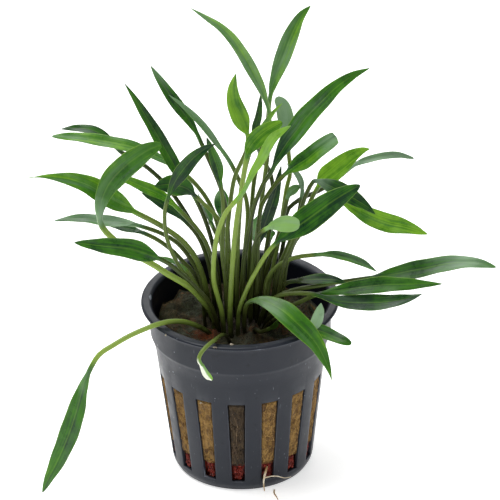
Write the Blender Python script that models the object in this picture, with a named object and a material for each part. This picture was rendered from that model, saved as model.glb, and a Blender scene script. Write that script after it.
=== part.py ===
"""A potted cryptocoryne: a slotted net pot, rock wool, roots and a rosette of leaves on long stalks.

The origin is the middle of the pot's underside, +Z is up and the front is towards -Y.
Each leaf is drawn as it looks from the front, 30 degrees above level: `run` goes from the tip down
to the crown in millimetres across and up that drawing, and `back` says how far behind the pot's
axis the leaf is, at even steps from tip to foot. A leaf moved with `back` keeps its look from there.
"""
import math

import bmesh
import bpy
from mathutils import Vector

MM = 0.001
LOOK_UP = math.radians(30.25)

POT_HEIGHT = 50.0
RIM_RADIUS = 27.0
RIM_DEPTH = 1.3
NECK_RADIUS = 24.9
WALL = 1.0
SHOULDER_TOP = 40.5
SHOULDER_FOOT = 36.6
SHOULDER_RADIUS = 24.3
BODY_TOP_RADIUS = 23.3
BODY_FOOT_RADIUS = 19.1
FOOT_RADIUS = 18.0
FOOT_HEIGHT = 1.9
FLOOR = 1.3
POT_SIDES = 78

SLOTS = 15
SLOT_FIRST = -4.0
SLOT_TOP = 29.5
SLOT_FOOT = 3.4
SLOT_TOP_WIDTH = 4.8
SLOT_FOOT_WIDTH = 3.5

GAP = 0.3
PAD_TOP = 8.4
WOOL_TOP = 43.2
WOOL_SWELL = 1.1
CROWN = WOOL_TOP + WOOL_SWELL + 0.35
SIDES = 28

BLADE_THICK = 0.5
RINGS_BLADE = 9
RINGS_STALK = 5
TIP_SHARE = 0.985

LEAVES = {
    "leaf_top_1": dict(
        run=((-12, 121.3), (-7.8, 118.6), (-4, 116), (-0.8, 112.7), (2, 108.5), (4.5, 104), (6.5, 100),
             (8, 96), (8.8, 92.5), (8.4, 84), (7, 74), (5.2, 62), (3.6, 50)),
        foot=2.2, joint=8, back=(10, 9, 7.5, 4, -0.8),
        width=3.4, widest=0.62, face=(0.3, -1, 0.4), fold=14),
    "leaf_top_2": dict(
        run=((20.5, 121.6), (17.6, 118.6), (15, 113.5), (13, 108.5), (11, 103.5), (9.6, 99.5),
             (8.8, 95.5), (8.2, 90), (6.6, 84), (5, 78), (4.1, 73), (3.5, 66), (3, 58), (2.5, 50)),
        foot=2.2, joint=6, back=(19, 17, 13, 7, 1.2),
        width=5.0, widest=0.45, face=(-0.2, -1, 0.3), fold=24),
    "leaf_top_3": dict(
        run=((0, 103.5), (-0.9, 100), (-0.8, 96.5), (0.4, 93), (1.7, 89.8), (2.9, 86.5), (2.4, 82.8),
             (0.8, 79.5), (-0.8, 76), (-1.7, 72), (-2.4, 67), (-3.1, 61), (-3.4, 52), (-3.2, 44)),
        foot=-3.0, joint=5, back=(2, 1, -0.6, -3, -4), width=5.0, widest=0.66, face=(0.2, -1, 0.3), fold=12),
    "leaf_top_4": dict(
        run=((6.6, 98.5), (6.3, 95), (5.8, 92), (5, 89), (5.3, 85), (6.8, 80.6), (8.3, 78), (9.2, 75),
             (9.4, 70), (8, 60), (6.2, 50)),
        foot=4.4, joint=5, back=(16, 15, 12, 5.4, 1), width=2.3, widest=0.5, face=(0, -1, 0.3), fold=20),
    "leaf_top_5": dict(
        run=((10.6, 97.3), (12.3, 95.4), (13.1, 92.4), (13.4, 89), (13.8, 83), (14.2, 77),
             (13.2, 73), (12.5, 69), (11.9, 65.4), (10.8, 59), (9.2, 52), (7.8, 46)),
        foot=6.8, joint=4, back=(20, 18.6, 13, 6.4, -1),
        width=4.6, widest=0.4, face=(0, -1, 0.2), fold=8, tip=0.4),
    "leaf_top_6": dict(
        run=((12.4, 95.5), (10.3, 93.5), (8.3, 91), (5.6, 87), (3.2, 82), (1.4, 75), (0.3, 66), (-0.4, 56),
             (-0.8, 46)),
        foot=-0.8, joint=4, back=(3.5, 3.6, 2.4, 0, -2.4),
        width=1.6, widest=0.5, face=(0, -1, 0.4), fold=10),
    "leaf_right_1": dict(
        run=((35.9, 104.2), (31.5, 102.4), (27, 99.4), (22.9, 95.6), (18.8, 91.5), (16.2, 88.2),
             (13.2, 84.4), (11, 81), (8.9, 76.8), (7.1, 74.4), (5.6, 71.3), (4.4, 68.3), (3.6, 65.2),
             (2.9, 62), (2.2, 58.7), (1.5, 54.3), (1, 49.9)),
        foot=0.9, joint=8, back=(-3, -3, -3.4, -4, -4.6),
        width=5.9, widest=0.62, face=(-0.5, -1, 0.6), fold=14),
    "leaf_right_2": dict(
        run=((26.8, 86.2), (24, 84.4), (21.8, 82.9), (18.6, 80.4), (15.5, 78.5), (12.6, 76.3),
             (9.7, 73.3), (8, 71), (6.3, 68.3), (5.6, 65), (5.2, 60), (4.9, 54), (4.6, 47)),
        foot=4.4, joint=5, back=(5, 3.6, 0.6, -2, -3.4),
        width=4.9, widest=0.62, face=(-0.3, -1, 0.6), fold=10, tip=0.12),
    "leaf_right_3": dict(
        run=((35.9, 82.9), (34, 82.6), (31.2, 81.2), (28.4, 79), (25.9, 77), (23.4, 75), (21.4, 72.6),
             (19, 68), (16.3, 62), (13, 56), (10.4, 50)),
        foot=8.6, joint=6, back=(12, 11, 9, 5.4, 0.8),
        width=6.0, widest=0.72, face=(-0.3, -1, 0.6), fold=12),
    "leaf_right_4": dict(
        run=((51.1, 59.5), (47.5, 60.8), (44, 61.8), (40.3, 62.6), (36, 64.2), (31, 66.8), (27, 69),
             (24.6, 68.6), (22.3, 66.6), (18.6, 62.3), (15.9, 59.3), (14.6, 57.2), (13.4, 54), (12.4, 50.5)),
        foot=10.7, joint=6, back=(-1, 1, 3.4, 3.2, 0.6), width=5.8, widest=0.5, face=(0.2, -0.9, 1),
        fold=12),
    "leaf_right_13": dict(
        run=((36.9, 65.2), (34.6, 67.2), (31.5, 69.2), (28, 71.3), (24.5, 73), (21.8, 74.2), (20.2, 74.2),
             (18.6, 71.5), (17.2, 68), (16.2, 64.2), (15.4, 60), (13.8, 56), (11.8, 51)),
        foot=8.8, joint=6, back=(-3.4, -3, -2.6, -3, -3.8), width=5.2, widest=0.6, face=(0.3, -0.9, 1),
        fold=12),
    "leaf_right_5": dict(
        run=((47.9, 80.2), (44, 81.1), (40, 81), (36, 80.2), (32, 78.9), (29, 76.8), (25.5, 74),
             (21.5, 71.7), (17.5, 70.1), (14.6, 68.2), (13, 66), (12.4, 60), (11, 53), (9.4, 46)),
        foot=8.2, joint=5, back=(18, 15, 12, 8, 3.4), width=2.3, widest=0.5, face=(0, -0.8, 1), fold=16,
        tip=0.5),
    "leaf_right_6": dict(
        run=((13.2, 79.4), (15.2, 77.4), (16.7, 75.2), (17.3, 72.6), (17.1, 70), (15.6, 63), (12.8, 56),
             (9.8, 49)),
        foot=8.6, joint=4, back=(7, 5.4, 3, 0.4, -1.4),
        width=1.7, widest=0.5, face=(0.3, -1, 0.2), fold=10),
    "leaf_right_7": dict(
        run=((17.2, 73.2), (15.6, 72.7), (14.2, 71.6), (13.2, 69.8), (12.3, 66), (10.4, 59), (7.2, 50)),
        foot=6.8, joint=3, back=(7.5, 6.2, 4.6, 3.9, 4), width=2.6, widest=0.5, face=(0, -1, 0.3), fold=8),
    "leaf_right_8": dict(
        run=((32.8, 73), (29, 71), (25, 68.6), (21, 65.8), (17, 63), (13.3, 60.6), (9.5, 57.5),
             (7, 54.5), (4.5, 50.5), (2.5, 46.8), (1, 43.5), (0, 41), (-0.6, 38)),
        foot=-0.8, joint=6, back=(-11, -11, -11, -10.6, -9.8), width=7.3, widest=0.58, face=(-0.3, -1, 0.5),
        fold=8, tip=0.6),
    "leaf_middle_1": dict(
        run=((16.4, 62.8), (12.5, 63), (9.4, 62.6), (7, 61.6), (5.2, 60), (4.1, 57), (3.5, 52), (3, 45)),
        foot=2.6, joint=3, back=(-16, -14.5, -11, -8, -6),
        width=4.6, widest=0.35, face=(0, -1, 0.5), fold=6,
        tip=0.35),
    "leaf_middle_2": dict(
        run=((11.8, 79), (10.9, 75), (9.8, 70.8), (8.3, 66.5), (6.5, 61.5), (4.8, 56), (3.8, 50), (3.3, 44)),
        foot=3.8, joint=5, back=(5, 3.6, 1.6, -0.6, -1.6),
        width=3.6, widest=0.6, face=(0.2, -1, 0.2), fold=12),
    "leaf_right_9": dict(
        run=((37.4, 49.6), (35, 51.2), (32, 52.6), (28, 53.9), (24, 54.6), (20, 54.5), (16, 54.1),
             (13, 53.2), (10.4, 51.8), (8.2, 49.4), (6.9, 46)),
        foot=6.3, joint=5, back=(7, 5, 2, -1.8, -3.3), width=2.9, widest=0.5, face=(0, -0.7, 1), fold=20),
    "leaf_right_10": dict(
        run=((69.5, 50.3), (66, 51.2), (62, 51.7), (58, 51.6), (54, 51.1), (50, 50.3), (46, 49.6),
             (42, 48.9), (38, 48.3), (34, 47.9), (30, 47.4), (26, 46.9), (20, 46), (14, 45), (9.5, 42.6)),
        foot=6.7, joint=9, back=(-2, 1, 0.6, -4.4, -5.2),
        width=5.4, widest=0.62, face=(0.1, -0.7, 1), fold=10,
        tip=0.6),
    "leaf_right_11": dict(
        run=((29, 46.8), (26, 47.6), (22, 47.9), (17, 47.7), (13, 47.2), (11, 45.4), (10.3, 42)),
        foot=10.2, joint=4, back=(-4.4, -3.4, -2.6, -2, -1.6),
        width=3.3, widest=0.45, face=(0, -0.6, 1), fold=10),
    "leaf_right_12": dict(
        run=((54.9, 46.1), (50, 46.1), (45, 46.1), (39, 46.1), (33, 45.6), (28, 45), (24, 44.4),
             (20, 43.6), (16.5, 42), (13, 40.6), (10, 39.2), (7.4, 37.4)),
        foot=5.9, joint=7, back=(-9, -9.4, -9.4, -8.8, -6.2), width=4.8, widest=0.55, face=(0.1, -0.8, 1),
        fold=10),
    "leaf_right_14": dict(
        run=((49.2, 43.5), (45.5, 42.4), (40, 41.5), (34, 41.3), (28, 41.7), (23.5, 42.8), (20, 43.9),
             (16, 44.3), (12, 44), (9, 42.9), (6.4, 40)),
        foot=4.5, joint=6, back=(-12.4, -12.2, -11.4, -9.2, -5.4), width=4.9, widest=0.5,
        face=(0.1, -0.8, 1), fold=10),
    "leaf_front_1": dict(
        run=((24.4, 20.4), (23.6, 23.6), (22.2, 27), (20.4, 30.4), (18, 33.4), (15, 36.4),
             (11.5, 39.6), (8, 41.7), (4.5, 42.6), (1.9, 41.6), (1.1, 37.6)),
        foot=1.0, joint=9, back=(-28, -24.8, -20.2, -14, -8.8), width=6.4, widest=0.6, face=(0.4, -1, 0.8),
        fold=8, tip=1.1),
    "leaf_front_2": dict(
        run=((21.8, 41.6), (21.3, 39.6), (20.6, 37.6), (19.8, 35.4), (18.6, 34), (16.8, 33.8), (14.4, 34.8),
             (11.6, 36.4), (8.8, 36.4)),
        foot=7.4, joint=4, back=(-18.2, -19.9, -19.9, -13, -7), width=4.5, widest=0.55, face=(0.7, -1, 0.1),
        fold=8),
    "leaf_front_3": dict(
        run=((29.8, 30.4), (26, 32), (23, 33.4), (20, 34.6), (17, 36), (14, 37.4), (11, 37.8), (8, 36.4)),
        foot=5.6, joint=4, back=(-21.5, -18.9, -17, -12.6, -7.8),
        width=3.8, widest=0.6, face=(0.2, -0.9, 1),
        fold=8, tip=0.4),
    "leaf_front_4": dict(
        run=((10, 37.2), (9.2, 35.6), (7.4, 34.6), (5.4, 34), (4, 34.6)),
        foot=3.4, joint=2, back=(-16.5, -15.6, -13.4, -11, -8.6), width=1.7, widest=0.5, face=(0.3, -1, 0.4),
        fold=6),
    "leaf_front_5": dict(
        run=((-7.9, 21.3), (-9.2, 22.9), (-10.2, 24.8), (-11.3, 26.9), (-10.6, 28.9), (-8.8, 30.8),
             (-6.9, 32.2), (-5, 33.4), (-3.7, 32.9)),
        foot=-3.0, joint=3, back=(-30, -31, -29, -23.4, -11.6), width=2.2, widest=0.4, face=(-0.3, -1, 0.2),
        fold=16, tip=0.5, stalk=1.1),
    "leaf_left_1": dict(
        run=((-23.1, 106.5), (-20.8, 102.8), (-18, 98.5), (-15.5, 95), (-13, 91.5), (-11, 88.2),
             (-9.8, 85.5), (-8.3, 82), (-6.8, 78.5), (-5.2, 74.5), (-3.9, 70), (-3.1, 64), (-2.8, 55),
             (-2.7, 47)),
        foot=-2.6, joint=6, back=(19, 16, 12, 7.6, 2.6),
        width=3.5, widest=0.5, face=(0.3, -1, 0.3), fold=18),
    "leaf_left_2": dict(
        run=((-18.2, 98.3), (-14.3, 95.2), (-10.8, 91.8), (-8, 88.5), (-5.5, 85), (-3.3, 82), (-1.5, 79),
             (0.1, 75.5), (1.5, 72), (2.3, 69), (2.4, 64), (1.4, 55), (0.6, 47)),
        foot=0.3, joint=6, back=(9, 8.4, 7, 4, 1), width=2.0, widest=0.5, face=(0.3, -1, 0.4), fold=14),
    "leaf_left_3": dict(
        run=((-30.1, 101.7), (-27.8, 98.2), (-25.2, 93.8), (-22.8, 89.8), (-20.5, 85.6), (-18.3, 81.5),
             (-16.5, 78.2), (-13.8, 74), (-11.4, 70), (-9, 64.3), (-7.2, 58), (-5.9, 50)),
        foot=-5.0, joint=8, back=(9, 7.4, 5, 2.4, 0.4),
        width=3.9, widest=0.6, face=(0.4, -1, 0.4), fold=14),
    "leaf_left_4": dict(
        run=((-48, 89.9), (-44.5, 90.1), (-40, 89.6), (-36.5, 88), (-34, 85.9), (-31.5, 83.3),
             (-28, 81.3), (-25, 79.4), (-21, 75.8), (-17.5, 71.4), (-14.4, 66.6), (-11.5, 61.4),
             (-9, 55.4), (-7, 48.6)),
        foot=-5.6, joint=5, back=(26, 21, 14, 7.6, 3.2), width=2.9, widest=0.5, face=(0, -0.8, 1), fold=12),
    "leaf_left_5": dict(
        run=((-50.2, 87.9), (-43.3, 87.5), (-35.6, 86.2), (-28.4, 84.6), (-24, 82.9), (-20.9, 81.3),
             (-17.6, 79.4), (-13.6, 76.4), (-10.6, 73.2), (-8.4, 70), (-6.4, 65.5), (-4.8, 58),
             (-4, 49)),
        foot=-3.6, joint=7, back=(17, 14, 10, 5, -1.2),
        width=3.7, widest=0.45, face=(0.2, -0.8, 1), fold=10, tip=0.5),
    "leaf_left_6": dict(
        run=((-20.2, 84.9), (-23, 83.9), (-26, 82.3), (-30.2, 79.3), (-33.8, 75.8), (-35.9, 72.4),
             (-37, 69.2), (-37.3, 66), (-36.6, 63), (-34.5, 60.5), (-31, 57.5), (-26.5, 54.6),
             (-22.6, 52.3), (-19.2, 50), (-15.7, 47.9), (-12.7, 45.7), (-9.3, 41.6), (-7, 37.6)),
        foot=-7.2, joint=8, back=(-3, -8, -12, -10, -5.8), width=6.9, widest=0.45, face=(0.5, -1, 0.5),
        fold=10, tip=0.5, stalk=1.7),
    "leaf_left_7": dict(
        run=((-56.3, 76.6), (-52, 76.9), (-48, 76.5), (-44.5, 75.8), (-40.5, 74.4), (-37, 72.4),
             (-33.5, 70.2), (-30, 68.2), (-26.9, 66.4), (-22.9, 64.3), (-19.5, 62.2), (-16, 59.6),
             (-13.6, 57), (-11.4, 53.4), (-9.4, 47)),
        foot=-7.4, joint=8, back=(-7, -6, -5, -3.6, -2.6), width=6.4, widest=0.7, face=(0.3, -0.9, 1),
        fold=10, tip=1.5, stalk=1.5),
    "leaf_left_8": dict(
        run=((-50.4, 64.9), (-46, 65.5), (-41.7, 65.5), (-37.6, 64.9), (-33.5, 64.4), (-29.5, 63.9),
             (-25.8, 62.9), (-21, 61.1), (-16.5, 58.2), (-13, 53.6), (-10.4, 47.6)),
        foot=-8.8, joint=6, back=(7, 6, 4, 2, -0.6), width=3.4, widest=0.62, face=(0.1, -0.7, 1), fold=12),
    "leaf_left_9": dict(
        run=((-36, 63.8), (-32, 63), (-28, 62), (-25, 60.9), (-21.5, 59), (-18, 56.2), (-15, 53),
             (-12.4, 49.6)),
        foot=-8.6, joint=3, back=(10.5, 8.6, 6.4, 4, 1.8),
        width=2.4, widest=0.5, face=(0.1, -0.7, 1), fold=12),
    "leaf_left_10": dict(
        run=((-44.2, 59), (-42, 58.7), (-38, 58.1), (-34, 57.6), (-29.8, 57), (-26.8, 56.2),
             (-23.4, 55), (-21, 54), (-18.6, 52.6), (-16.4, 50.7), (-14.1, 48.6), (-11.2, 45.6), (-8, 41.4)),
        foot=-5.4, joint=7, back=(-18, -16, -13.4, -10.6, -7), width=6.0, widest=0.72, face=(0.1, -0.8, 1),
        fold=10, tip=0.7),
    "leaf_left_11": dict(
        run=((-24.7, 54.3), (-21, 54.2), (-17.5, 53.3), (-14.4, 51), (-12, 47.4), (-10.2, 43)),
        foot=-9.6, joint=3, back=(-3.4, -3.6, -3.8, -3.8, -3.6),
        width=1.5, widest=0.5, face=(0, -0.8, 1), fold=8,
        stalk=1.0),
    "leaf_left_12": dict(
        run=((-5.8, 84.7), (-8.5, 83.6), (-12, 81), (-14.7, 78), (-16.8, 75), (-18.3, 72), (-19, 70),
             (-19.7, 67.5), (-19.9, 65), (-19.8, 62.4), (-19.3, 59.4), (-18, 55.6), (-15.6, 51),
             (-12.4, 46.4), (-9, 42)),
        foot=-6.0, joint=6, back=(-6.6, -7.6, -8, -7, -3.9), width=4.4, widest=0.55, face=(0.3, -1, 0.5),
        fold=16, stalk=1.1),
    "leaf_left_13": dict(
        run=((-22.5, 73.8), (-19, 74.2), (-16, 73.8), (-13.5, 72.8), (-11.4, 70.9), (-9.4, 68.9),
             (-7, 66.6), (-5, 64), (-3.4, 60), (-2.2, 52), (-1.6, 45)),
        foot=-1.4, joint=4, back=(-3, -1.6, 0, 0.4, -0.2), width=5.8, widest=0.5, face=(0, -1, 0.6), fold=8,
        stalk=1.1),
    "leaf_left_14": dict(
        run=((-34, 76.3), (-30, 75.6), (-26, 73.8), (-22, 72), (-18.5, 69.8), (-15.6, 66.9),
             (-12, 63), (-9, 58.4), (-7, 52), (-6, 46)),
        foot=-5.4, joint=5, back=(2, 1.6, 0.4, -1, -2.4),
        width=3.5, widest=0.5, face=(0.2, -0.8, 1), fold=14),
    "leaf_left_15": dict(
        run=((-26.3, 72.3), (-22, 69.8), (-18, 67.2), (-14, 63.8), (-11, 60), (-9, 55), (-7.7, 49)),
        foot=-6.8, joint=3, back=(9, 7, 5, 3, 1), width=3.0, widest=0.5, face=(0.2, -0.8, 1), fold=14),
    "leaf_left_16": dict(
        run=((-8.2, 86.7), (-6.8, 82.5), (-5.4, 78), (-4.6, 73.5), (-4.1, 69.5), (-4.2, 64),
             (-4.6, 56), (-3.6, 46)),
        foot=-2.8, joint=3, back=(-2.6, -3, -4, -5, -5.6),
        width=3.4, widest=0.6, face=(0.3, -1, 0.2), fold=20),
    "leaf_middle_3": dict(
        run=((12.2, 90.2), (9.8, 89.1), (7.3, 87.6), (5, 85.6), (3.3, 83.3), (2.4, 80.5), (1.8, 77.4),
             (1, 73), (0.3, 68.6), (-0.3, 65.5), (-0.75, 62.3), (-1.2, 59), (-1.8, 52.9), (-2.1, 49.4),
             (-2.4, 45.8), (-2.6, 42.3), (-2.8, 38)),
        foot=-2.6, joint=5, back=(-6, -7, -8, -9, -9.6),
        width=4.9, widest=0.55, face=(-0.2, -1, 0.4), fold=12,
        tip=0.5, stalk=1.4),
    "leaf_middle_4": dict(
        run=((14.5, 89.2), (11.8, 87.6), (9.7, 86), (8.2, 83.8), (7, 81.5), (5.6, 79.2), (4.1, 77),
             (2.9, 74.6), (1.6, 72.1), (-0.8, 69.2), (-3.1, 66.7), (-4.6, 63.8), (-5.9, 60), (-6.6, 56),
             (-7, 52), (-7, 48), (-6, 43.6), (-5, 39.6)),
        foot=-4.5, joint=9, back=(-12.4, -13, -12.6, -11, -8.6),
        width=2.9, widest=0.3, face=(-0.2, -1, 0.5),
        fold=12, stalk=1.3),
    "leaf_hanging": dict(
        run=((-54.7, -8.8), (-52.9, -5), (-50.6, -0.8), (-48.2, 4.2), (-46.2, 9), (-44.5, 14),
             (-43.1, 18.8), (-41.7, 22.8), (-40, 26.2), (-38, 28.9), (-34, 31.4), (-30, 33.6),
             (-26, 35.3), (-22, 36.7), (-18, 37.3), (-14, 36.8), (-10, 35)),
        foot=-7.2, joint=8, back=(-22.6, -22.8, -20.4, -16, -8.4), width=5.9, widest=0.52,
        face=(-0.5, -1, 0.5), fold=8, tip=0.7, stalk=1.4),
    "leaf_back_1": dict(
        run=((-11, 72), (-9.4, 68), (-7, 62.5), (-4, 56), (-1.6, 49)),
        foot=-0.8, joint=2, back=(24, 18, 12, 7, 3.8), width=4.5, widest=0.5, face=(0.2, 0.6, 1), fold=10),
    "leaf_back_2": dict(
        run=((5.6, 66), (5.2, 62), (4.4, 57.5), (3.4, 52), (2.8, 47)),
        foot=2.5, joint=2, back=(30, 23, 15, 8.4, 4.6), width=4.5, widest=0.5, face=(0, 0.6, 1), fold=10),
    "leaf_back_3": dict(
        run=((-4.4, 74), (-4.6, 70), (-4.4, 64), (-4, 56), (-3.6, 49)),
        foot=-3.4, joint=2, back=(35, 28, 18, 10, 5.4), width=4.4, widest=0.5, face=(0, 0.6, 1), fold=10),
    "leaf_back_4": dict(
        run=((9, 62), (8.2, 58.6), (7, 54.4), (6, 49.4)),
        foot=5.2, joint=1, back=(22, 17, 12, 8.4, 5.8),
        width=4.2, widest=0.5, face=(-0.2, 0.6, 1), fold=10),
}

ROOTS = {
    "root_main": dict(
        path=((6.4, -17.6, 7), (6.1, -19.1, 6.4), (5.6, -19.8, 4.6), (5.5, -19.6, 2.6), (5.7, -20.2, 0.8)),
        thick=0.8),
    "root_side": dict(
        path=((7.4, -17.1, 6.6), (7.8, -18.4, 6), (9.4, -18.3, 4.4), (11.2, -17.2, 3.2), (13, -16.2, 2.9)),
        thick=0.5),
    "root_on_floor": dict(
        path=((8.4, -18.9, 0.35), (8.3, -20.6, 0.35), (8.9, -22.4, 0.35), (9.4, -24.4, 0.35)),
        thick=0.55),
}


def clear_scene():
    """Take everything out of the scene."""
    for thing in list(bpy.data.objects):
        bpy.data.objects.remove(thing, do_unlink=True)


def finish_material(name, colour, roughness, metallic=0.0):
    """A plain Principled material in the part's own colour."""
    material = bpy.data.materials.new(name)
    material.use_nodes = True
    shader = material.node_tree.nodes["Principled BSDF"]
    shader.inputs["Base Color"].default_value = (*colour, 1.0)
    shader.inputs["Roughness"].default_value = roughness
    shader.inputs["Metallic"].default_value = metallic
    return material


def object_from(name, mesh, material, smooth=True):
    """Link a mesh as a named object with its material and shading."""
    if smooth:
        mesh.shade_smooth()
        mesh.set_sharp_from_angle(angle=math.radians(35))
    mesh.materials.append(material)
    thing = bpy.data.objects.new(name, mesh)
    bpy.context.scene.collection.objects.link(thing)
    return thing


def mesh_from(name, points, faces):
    """A mesh from points in millimetres, with its faces turned outwards."""
    mesh = bpy.data.meshes.new(name)
    mesh.from_pydata([tuple(value * MM for value in point) for point in points], [], faces)
    shape = bmesh.new()
    shape.from_mesh(mesh)
    bmesh.ops.recalc_face_normals(shape, faces=shape.faces[:])
    shape.to_mesh(mesh)
    shape.free()
    return mesh


def turned(name, profile, sides):
    """Turn a closed radius and height outline about Z; a radius of nought becomes one point."""
    points = []
    rows = []
    for radius, height in profile:
        if radius == 0:
            rows.append([len(points)] * sides)
            points.append((0.0, 0.0, height))
            continue
        rows.append([len(points) + step for step in range(sides)])
        for step in range(sides):
            turn = 2 * math.pi * step / sides
            points.append((radius * math.sin(turn), -radius * math.cos(turn), height))
    faces = []
    for upper, lower in zip(rows, rows[1:] + rows[:1]):
        if upper[0] == upper[1] and lower[0] == lower[1]:
            continue
        for step in range(sides):
            after = (step + 1) % sides
            corners = [upper[step], upper[after], lower[after], lower[step]]
            faces.append(tuple(dict.fromkeys(corners)))
    return mesh_from(name, points, faces)


def body_radius(height):
    """The pot's outer radius in its tapered body."""
    share = (height - FOOT_HEIGHT) / (SHOULDER_FOOT - FOOT_HEIGHT)
    return BODY_FOOT_RADIUS + (BODY_TOP_RADIUS - BODY_FOOT_RADIUS) * share


def slot_cutter():
    """All the slots' wedges in one mesh, each from inside the wall to outside it."""
    points = []
    faces = []
    for slot in range(SLOTS):
        turn = math.radians(SLOT_FIRST + 360 / SLOTS * slot)
        start = len(points)
        for height, width in ((SLOT_FOOT, SLOT_FOOT_WIDTH), (SLOT_TOP, SLOT_TOP_WIDTH)):
            for reach in (body_radius(height) - 3 * WALL, body_radius(height) + 3 * WALL):
                for side in (-0.5, 0.5):
                    along = width * side
                    x = reach * math.sin(turn) + along * math.cos(turn)
                    y = -reach * math.cos(turn) + along * math.sin(turn)
                    points.append((x, y, height))
        for corners in ((0, 1, 3, 2), (4, 5, 7, 6), (0, 1, 5, 4), (2, 3, 7, 6), (0, 2, 6, 4), (1, 3, 7, 5)):
            faces.append(tuple(start + corner for corner in corners))
    cutter = bpy.data.objects.new("slot_cutter", mesh_from("slot_cutter", points, faces))
    bpy.context.scene.collection.objects.link(cutter)
    cutter.hide_render = True
    cutter.display_type = "WIRE"
    return cutter


def build_pot():
    """The tapered net pot: thin wall, shoulder, flat rim, solid floor and a ring of upright slots."""
    inner = NECK_RADIUS - WALL
    profile = [
        (0, 0), (FOOT_RADIUS, 0), (BODY_FOOT_RADIUS, FOOT_HEIGHT), (body_radius(18), 18),
        (BODY_TOP_RADIUS, SHOULDER_FOOT), (SHOULDER_RADIUS - 0.2, SHOULDER_TOP - 1.2),
        (SHOULDER_RADIUS + 0.2, SHOULDER_TOP), (NECK_RADIUS, POT_HEIGHT - RIM_DEPTH),
        (RIM_RADIUS - 0.4, POT_HEIGHT - RIM_DEPTH), (RIM_RADIUS, POT_HEIGHT - RIM_DEPTH * 0.6),
        (RIM_RADIUS - 0.1, POT_HEIGHT - 0.35), (RIM_RADIUS - 0.6, POT_HEIGHT), (inner + 0.5, POT_HEIGHT),
        (inner, POT_HEIGHT - 0.5), (SHOULDER_RADIUS - WALL, SHOULDER_TOP),
        (BODY_TOP_RADIUS - WALL, SHOULDER_FOOT - 0.6), (body_radius(FLOOR) - WALL, FLOOR), (0, FLOOR),
    ]
    plastic = finish_material("pot_plastic", (0.045, 0.05, 0.065), 0.4)
    pot = object_from("pot", turned("pot", profile, POT_SIDES), plastic)
    cut = pot.modifiers.new("slots", "BOOLEAN")
    cut.operation = "DIFFERENCE"
    cut.solver = "EXACT"
    cut.object = slot_cutter()


def wool_radius(height):
    """The widest that what fills the pot may be, a gap inside the wall."""
    if height > SHOULDER_FOOT:
        share = min(1.0, (height - SHOULDER_FOOT) / (SHOULDER_TOP - SHOULDER_FOOT))
        return BODY_TOP_RADIUS - WALL - GAP - 0.1 + share * (SHOULDER_RADIUS - BODY_TOP_RADIUS)
    return body_radius(height) - WALL - GAP - 0.1


def build_filling():
    """The red pad on the pot's floor and the plug of rock wool that stands on it."""
    pad = [(0, FLOOR + GAP), (wool_radius(FLOOR + GAP) - 0.5, FLOOR + GAP),
           (wool_radius(PAD_TOP) - 0.4, PAD_TOP), (0, PAD_TOP)]
    clay = finish_material("red_pad_foam", (0.4, 0.07, 0.04), 0.9)
    object_from("red_pad", turned("red_pad", pad, SIDES), clay)
    foot = PAD_TOP + GAP
    wool = [(0, foot), (wool_radius(foot) - 0.4, foot), (wool_radius(24) - 0.1, 24),
            (wool_radius(SHOULDER_FOOT) - 0.2, SHOULDER_FOOT), (wool_radius(WOOL_TOP), WOOL_TOP - 0.8),
            (wool_radius(WOOL_TOP) - 1.2, WOOL_TOP), (14, WOOL_TOP + 0.4), (8, WOOL_TOP + WOOL_SWELL),
            (0, WOOL_TOP + WOOL_SWELL)]
    fibre = finish_material("rock_wool_fibre", (0.25, 0.16, 0.06), 0.95)
    object_from("rock_wool", turned("rock_wool", wool, SIDES), fibre)


def through(points, count):
    """Points at even steps along a smooth curve through the given ones."""
    rough = []
    last = len(points) - 1
    for step in range(last):
        before = points[max(step - 1, 0)]
        start = points[step]
        end = points[step + 1]
        after = points[min(step + 2, last)]
        for part in range(8):
            t = part / 8
            rough.append(0.5 * (2 * start + (end - before) * t
                                + (2 * before - 5 * start + 4 * end - after) * t * t
                                + (3 * start - before - 3 * end + after) * t ** 3))
    rough.append(points[-1])
    return evenly(rough, count)


def evenly(rough, count):
    """Points at even steps along a run of close points."""
    reach = [0.0]
    for start, end in zip(rough, rough[1:]):
        reach.append(reach[-1] + (end - start).length)
    even = []
    place = 0
    for step in range(count + 1):
        want = reach[-1] * step / count
        while place < len(rough) - 2 and reach[place + 1] < want:
            place += 1
        share = (want - reach[place]) / max(reach[place + 1] - reach[place], 1e-9)
        even.append(rough[place].lerp(rough[place + 1], share))
    return even


def value_at(values, share):
    """Read evenly placed values at a share of the way, along a smooth curve."""
    place = share * (len(values) - 1)
    step = min(int(place), len(values) - 2)
    t = place - step
    before = values[max(step - 1, 0)]
    after = values[min(step + 2, len(values) - 1)]
    start, end = values[step], values[step + 1]
    return 0.5 * (2 * start + (end - before) * t + (2 * before - 5 * start + 4 * end - after) * t * t
                  + (3 * start - before - 3 * end + after) * t ** 3)


def leaf_spine(leaf, count):
    """A leaf's middle line in space from tip to foot, and the share of it that is blade."""
    foot_up = CROWN * math.cos(LOOK_UP) + leaf["back"][-1] * math.sin(LOOK_UP)
    drawn = [Vector((across, up, 0)) for across, up in leaf["run"]]
    drawn.append(Vector((leaf["foot"], foot_up, 0)))
    lengths = [0.0]
    for start, end in zip(drawn, drawn[1:]):
        lengths.append(lengths[-1] + (end - start).length)
    blade = lengths[leaf["joint"]] / lengths[-1]
    flat = through(drawn, count)
    spine = []
    for step, point in enumerate(flat):
        back = value_at(leaf["back"], step / count)
        height = (point.y - back * math.sin(LOOK_UP)) / math.cos(LOOK_UP)
        spine.append(Vector((point.x, back, height)))
    return spine, blade


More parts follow.
